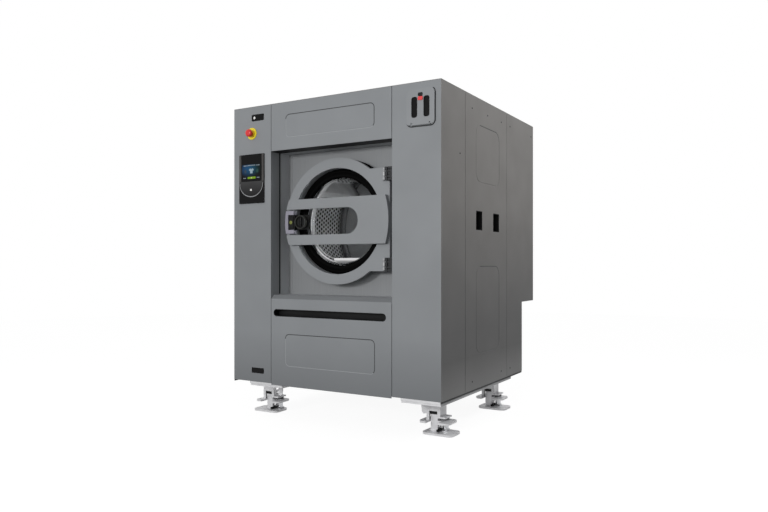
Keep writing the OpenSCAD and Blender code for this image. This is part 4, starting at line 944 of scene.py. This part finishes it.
class WASHER_OT_controls(WasherStep):
    """Control panel, touch screen and the two bare label plates"""
    bl_idname = "washer.controls"
    bl_label = "Controls"

    def execute(self, context):
        x0 = -550.5
        softened("control_bezel", "gloss black", 0.0015, 3, slot="gloss_black")
        coat("gloss black", "screen_glass")
        lower = [(x0 - 94, 1197.5), (x0 - 94, 1184)] + arc(x0, 1184, range(180, 361, 6), 91, 77)
        lower += [(x0 + 94, 1184), (x0 + 94, 1197.5)]
        dress(plate("fascia_lower", lower, -7.2, -5, "charcoal", 0.6), "root", "gloss_black")
        for side, name in SIDES:
            a, b = x0 + side * 79.5, x0 + side * 94
            dress(plate(f"fascia_side_{name}", [(a, 1198), (b, 1198), (b, 1356), (a, 1356)], -7.2, -5,
                        "warm strip", 0.6), "root", "gloss_black")
        trim = tapered_rod("fascia_trim", arc(x0, 1182, range(178, 363, 4), 88, 75), -7.4, 3.0, "trim", 0.5)
        dress(trim, "root", "stainless")
        port = blocks("service_port", [(x0 - 9, x0 + 4, -8, -6, 1141, 1153)], "white", 1.2, 3)
        dress(port, "root", "pale_plastic")
        dress(plate("display_field", oblong(x0, 1254, 146, 88, 3), -6.75, -6.4, lit_display(x0), 0), "root",
              "screen")
        marks = [(-60, -40, 1289), (-37, -30, 1289), (-27, -4, 1290), (-1, 13, 1290), (16, 30, 1290),
                 (38, 48, 1289), (51, 63, 1289), (-62, -52, 1216), (-50, -42, 1216), (42, 50, 1216),
                 (52, 62, 1216)]
        dress(blocks("display_marks", [(x0 + a, x0 + b, -7.0, -6.6, h, h + 5) for a, b, h in marks],
                     glowing("White display marks", "#8f9ba3", 0.8), 0.1), "root", "screen")
        shirt = [(-6, 14), (-10, 14), (-19, 7), (-15, 0), (-10, 3), (-9, -15), (9, -15), (10, 3), (15, 0),
                 (19, 7), (10, 14), (6, 14), (0, 9)]
        shirt = [(x0 + a, 1260 + b) for a, b in shirt]
        fields = [("icon", shirt, -7.0, -6.6, "Pale display icon", "#9fb7c2", 0.75)]
        drop = [(-7, 1248), (7, 1248), (9, 1262), (3, 1270), (-3, 1270), (-9, 1262)]
        for (side, name), dim in zip(SIDES, ("#3c5266", "#2c5450")):
            fields.append((f"side_{name}", [(x0 + side * 46 + a, h) for a, h in drop], -7.0, -6.6,
                           f"Dim display icon {name}", dim, 0.6))
        button, spot = oblong(x0 + 2, 1219, 62, 12, 4), disc(x0 + 1, 1219, 4.5, 16)
        fields += [("button", button, -7.1, -6.6, "Green display button", ("button", 1), 0.62),
                   ("button_spot", spot, -7.3, -7.0, "Pale button spot", "#d8d79a", 0.7)]
        for name, outline, v0, v1, look, colour, strength in fields:
            field = plate(f"display_{name}", outline, v0, v1, glowing(look, colour, strength), 0)
            dress(field, "root", "screen")
        for name, h, high in (("upper", 1572.5, 39), ("lower", 80, 32)):
            label = plate(f"label_plate_{name}", oblong(-506.5, h, 93, high, 6), -1.2, 0, "gloss black")
            dress(label, "root", "gloss_black")
        dress(plate("label_dot", disc(-532, 1572.5, 8), -1.5, -1, "white", 0.15), "root", "pale_plastic")
        return {"FINISHED"}


class WASHER_OT_estop(WasherStep):
    """Emergency stop"""
    bl_idname = "washer.estop"
    bl_label = "Emergency stop"

    def execute(self, context):
        softened("estop_collar", "yellow", 0.0015, 3, slot="yellow_plastic")
        coat("black", "estop_plunger")
        cap = [(0, -42), (8, -41.8), (14, -41), (18.5, -39), (21.5, -35.5), (22, -32), (22, -25),
               (20.5, -22.5), (17, -21.5), (13, -21), (13, -9.5), (6.05, -9.5), (6.05, -34), (0, -34)]
        cap = lathe("stop_cap", cap, "red", (-550, 0, 1480), steps=64)
        dress(cap, "estop_cap", "red_plastic", "estop_cap")
        return {"FINISHED"}


class WASHER_OT_dispenser(WasherStep):
    """Dispenser lid with its finger slots and latch"""
    bl_idname = "washer.dispenser"
    bl_label = "Dispenser"

    def execute(self, context):
        softened("dispenser_lid", "door", 0.002, 3, body="dispenser_lid")
        for side, name in SIDES:
            x = 578 + 35 * side
            dress(plate(f"slot_floor_{name}", oblong(x, 1509, 34, 107, 13), -3.1, -2.5, "gloss black", 0.2),
                  "dispenser_lid", "black_plastic")
            dress(frame_plate(f"slot_rim_{name}", oblong(x, 1509, 37, 110, 14.5),
                              oblong(x, 1509, 33.4, 106.4, 12.7), -8.6, -3, "rim"),
                  "dispenser_lid", "cabinet_grey")
        dress(plate("latch_tip", oblong(578, 1572, 26, 19, 5), -11, -8.3, "black", 0.8), "lid_latch",
              "black_plastic", "lid_latch")
        dress(plate("latch_slide", oblong(578, 1552, 28, 19, 4), -11, -8.3, "red", 0.8), "lid_latch",
              "red_plastic")
        dress(blocks("latch_stem", [(573, 583, -8.5, -0.3, 1556, 1568)], "black", 0.4), "lid_latch",
              "black_plastic")
        coat("door", "dispenser_hopper")
        line = oblong(578, 1507.5, 163, 192, 27)
        dress(strip("lid_shadow_line", line[15:] + line[:5], -0.1, 6, "lid gap"), "root", "black_rubber")
        return {"FINISHED"}


class WASHER_OT_feet(WasherStep):
    """Feet, chassis and their fittings"""
    bl_idname = "washer.feet"
    bl_label = "Feet and chassis"

    def execute(self, context):
        edge = context.scene.washer_edges.cast
        second_coat(softened("chassis_frame", "zinc", 0.0015, slot="zinc_steel"), "rail", faces_sideways(0.6))
        softened("foot_bases", "zinc", edge, 3, slot="zinc_steel")
        softened("foot_brackets", "zinc", edge * 0.75, slot="zinc_steel")
        softened("load_cells", "steel", 0.001, slot="stainless")
        pad = [(0, 70), (21, 70), (22, 73), (21, 77), (22, 81), (21, 84), (0, 84)]
        pad = eased(pad, keep=(0, 6), passes=1)
        gland = [(0, -34), (6.5, -34), (7, -33), (7, -12), (8, -11.5), (8, 11), (7, 11.5), (7, 18), (0, 18)]
        # The corner of each foot's post, in x and depth
        posts = [(side * 588 + start, v) for side, start in ((-1, -19), (1, -58)) for v in (215, 985)]
        for i, (x, v) in enumerate(posts):
            dress(lathe(f"foot_pad_{i}", pad, "foot rubber", (x + 69, v + 31, -200), "h", steps=40), "root",
                  "black_rubber", *(() if i else ("foot_pads",)))
            # Painted shade: black plates behind each bracket's window stand for the shaded inside of the
            # bracket
            window_shade = [(x + x0, x + x1, v - 15.7, v - 12, h0, h1)
                       for x0, x1, h0, h1 in ((-5, 48, -98, -76), (-3.5, -0.5, -129, -97))]
            dress(blocks(f"foot_backing_{i}", window_shade, "black", 0.3), "root", "black_rubber")
            dress(lathe(f"foot_gland_{i}", gland, "black", (x + 50.6, v, -180), steps=24), "root",
                  "black_plastic")
        return {"FINISHED"}


class WASHER_OT_services(WasherStep):
    """Drain, water inlets, electrical box and isolator"""
    bl_idname = "washer.services"
    bl_label = "Services"

    def execute(self, context):
        softened("drain_valve", "black", 0.001, slot="black_plastic")
        softened("water_inlets", "brass", 0.0008, slot="brass")
        softened("electrical_box", "pale", 0.0015, slot="pale_plastic")
        softened("isolator_knob", "red", 0.0015, 3, body="isolator_knob", slot="red_plastic")
        return {"FINISHED"}


def straight_seen(node):
    """One where the camera sees the surface, also by reflection or through glass; nought for its light."""
    rays = node("LightPath").outputs
    seen = node("Math MAXIMUM", (rays["Is Camera Ray"], rays["Is Transmission Ray"]))
    return node("Math MAXIMUM", (seen, rays["Is Glossy Ray"]))


def floor_finish():
    """Pale studio floor: white to the eye, with the object's soft shadow."""
    material, node = fresh("Pale studio floor")
    strength = node("Math MULTIPLY", (straight_seen(node), 0.92))
    glow = node("Emission", {"Color": (1, 1, 1, 1), "Strength": strength})
    cloth = node("BsdfDiffuse", {"Color": (0.16, 0.16, 0.16, 1)})
    node("OutputMaterial", {"Surface": node("AddShader", (glow, cloth))})
    return material


class WASHER_OT_stage(WasherStep):
    """Floor, world, lamps and camera"""
    bl_idname = "washer.stage"
    bl_label = "Studio"

    def execute(self, context):
        scene = context.scene
        scene.view_settings.view_transform = "Standard"
        world = bpy.data.worlds.new("White studio")
        world.use_nodes = True
        world.node_tree.nodes.clear()
        node = partial(add, world.node_tree)
        way = node("SeparateXYZ", [node("TexCoord").outputs["Generated"]]).outputs["X"]
        soft = node("MapRange", {"Value": way, "To Min": 0.54, "To Max": 0.14})
        level = node("Mix", {0: straight_seen(node), 2: soft, 3: 1.0}, data_type="FLOAT")
        sky = node("Background", {"Color": (1, 1, 1, 1), "Strength": level})
        node("OutputWorld", {"Surface": sky})
        scene.world = world
        bm = bmesh.new()
        bm.faces.new([bm.verts.new((x, y, 0)) for x, y in arc(0, 0, range(0, 360, 6), 9)])
        put("studio_floor", bm, floor_finish())
        middle = (0, -0.3, 1.1)
        for name, spot, aim, size, power in (
                ("Key", (-0.9, -6.2, 1.9), middle, 0.9, 108.0), ("Side", (2.6, 0.3, 2.9), middle, 1.0, 27.0),
                ("Fill", (1.7, -4.4, 1.6), middle, 1.0, 25.0),
                ("Drum", (0.22, -0.38, 1.15), (-0.5, 0.0, 1.1), 0.22, 0.8)):
            lamp = bpy.data.lights.new(name, "AREA")
            lamp.shape = "DISK"
            lamp.size = size
            lamp.energy = power
            thing = shown_as(name, lamp)
            thing.location = spot
            thing.rotation_euler = (Vector(aim) - Vector(spot)).to_track_quat("-Z", "Y").to_euler()
        eye = bpy.data.cameras.new("Photograph camera")
        eye.lens = 32.26
        eye.sensor_width = 36.0
        eye.shift_y = 0.0103
        scene.camera = shown_as("Photograph camera", eye)
        scene.camera.location = (2.2024, -3.8066, 0.9086)
        scene.camera.rotation_euler = (math.radians(90), 0, math.radians(30.62))
        return {"FINISHED"}


class WASHER_PT_panel(bpy.types.Panel):
    """Steps and sizes of the washer-extractor"""
    bl_label = "Washer-extractor"
    bl_idname = "WASHER_PT_panel"
    bl_space_type = "VIEW_3D"
    bl_region_type = "UI"
    bl_category = "Washer"

    def draw(self, context):
        for step in STEPS:
            self.layout.operator(step.bl_idname)
        for group in GROUPS:
            settings = getattr(context.scene, group)
            box = self.layout.box()
            for name in settings.__annotations__:
                box.prop(settings, name)


GROUPS = {"washer_colours": WasherColours, "washer_drum": WasherDrum, "washer_edges": WasherEdges,
          "washer_springs": WasherSprings}
STEPS = (WASHER_OT_cabinet, WASHER_OT_recess, WASHER_OT_door, WASHER_OT_latch, WASHER_OT_hinges,
         WASHER_OT_drum, WASHER_OT_suspension, WASHER_OT_controls, WASHER_OT_estop, WASHER_OT_dispenser,
         WASHER_OT_feet, WASHER_OT_services, WASHER_OT_stage)


def register():
    """Makes the settings, steps and panel known to Blender."""
    for name, group in GROUPS.items():
        bpy.utils.register_class(group)
        setattr(bpy.types.Scene, name, bpy.props.PointerProperty(type=group))
    for thing in STEPS + (WASHER_PT_panel,):
        bpy.utils.register_class(thing)


def unregister():
    """Takes them out again."""
    for thing in STEPS + (WASHER_PT_panel,):
        bpy.utils.unregister_class(thing)
    for name, group in GROUPS.items():
        delattr(bpy.types.Scene, name)
        bpy.utils.unregister_class(group)


def main():
    """Runs every step."""
    register()
    for step in STEPS:
        group, name = step.bl_idname.split(".")
        getattr(getattr(bpy.ops, group), name)()


if __name__ == "__main__":
    main()
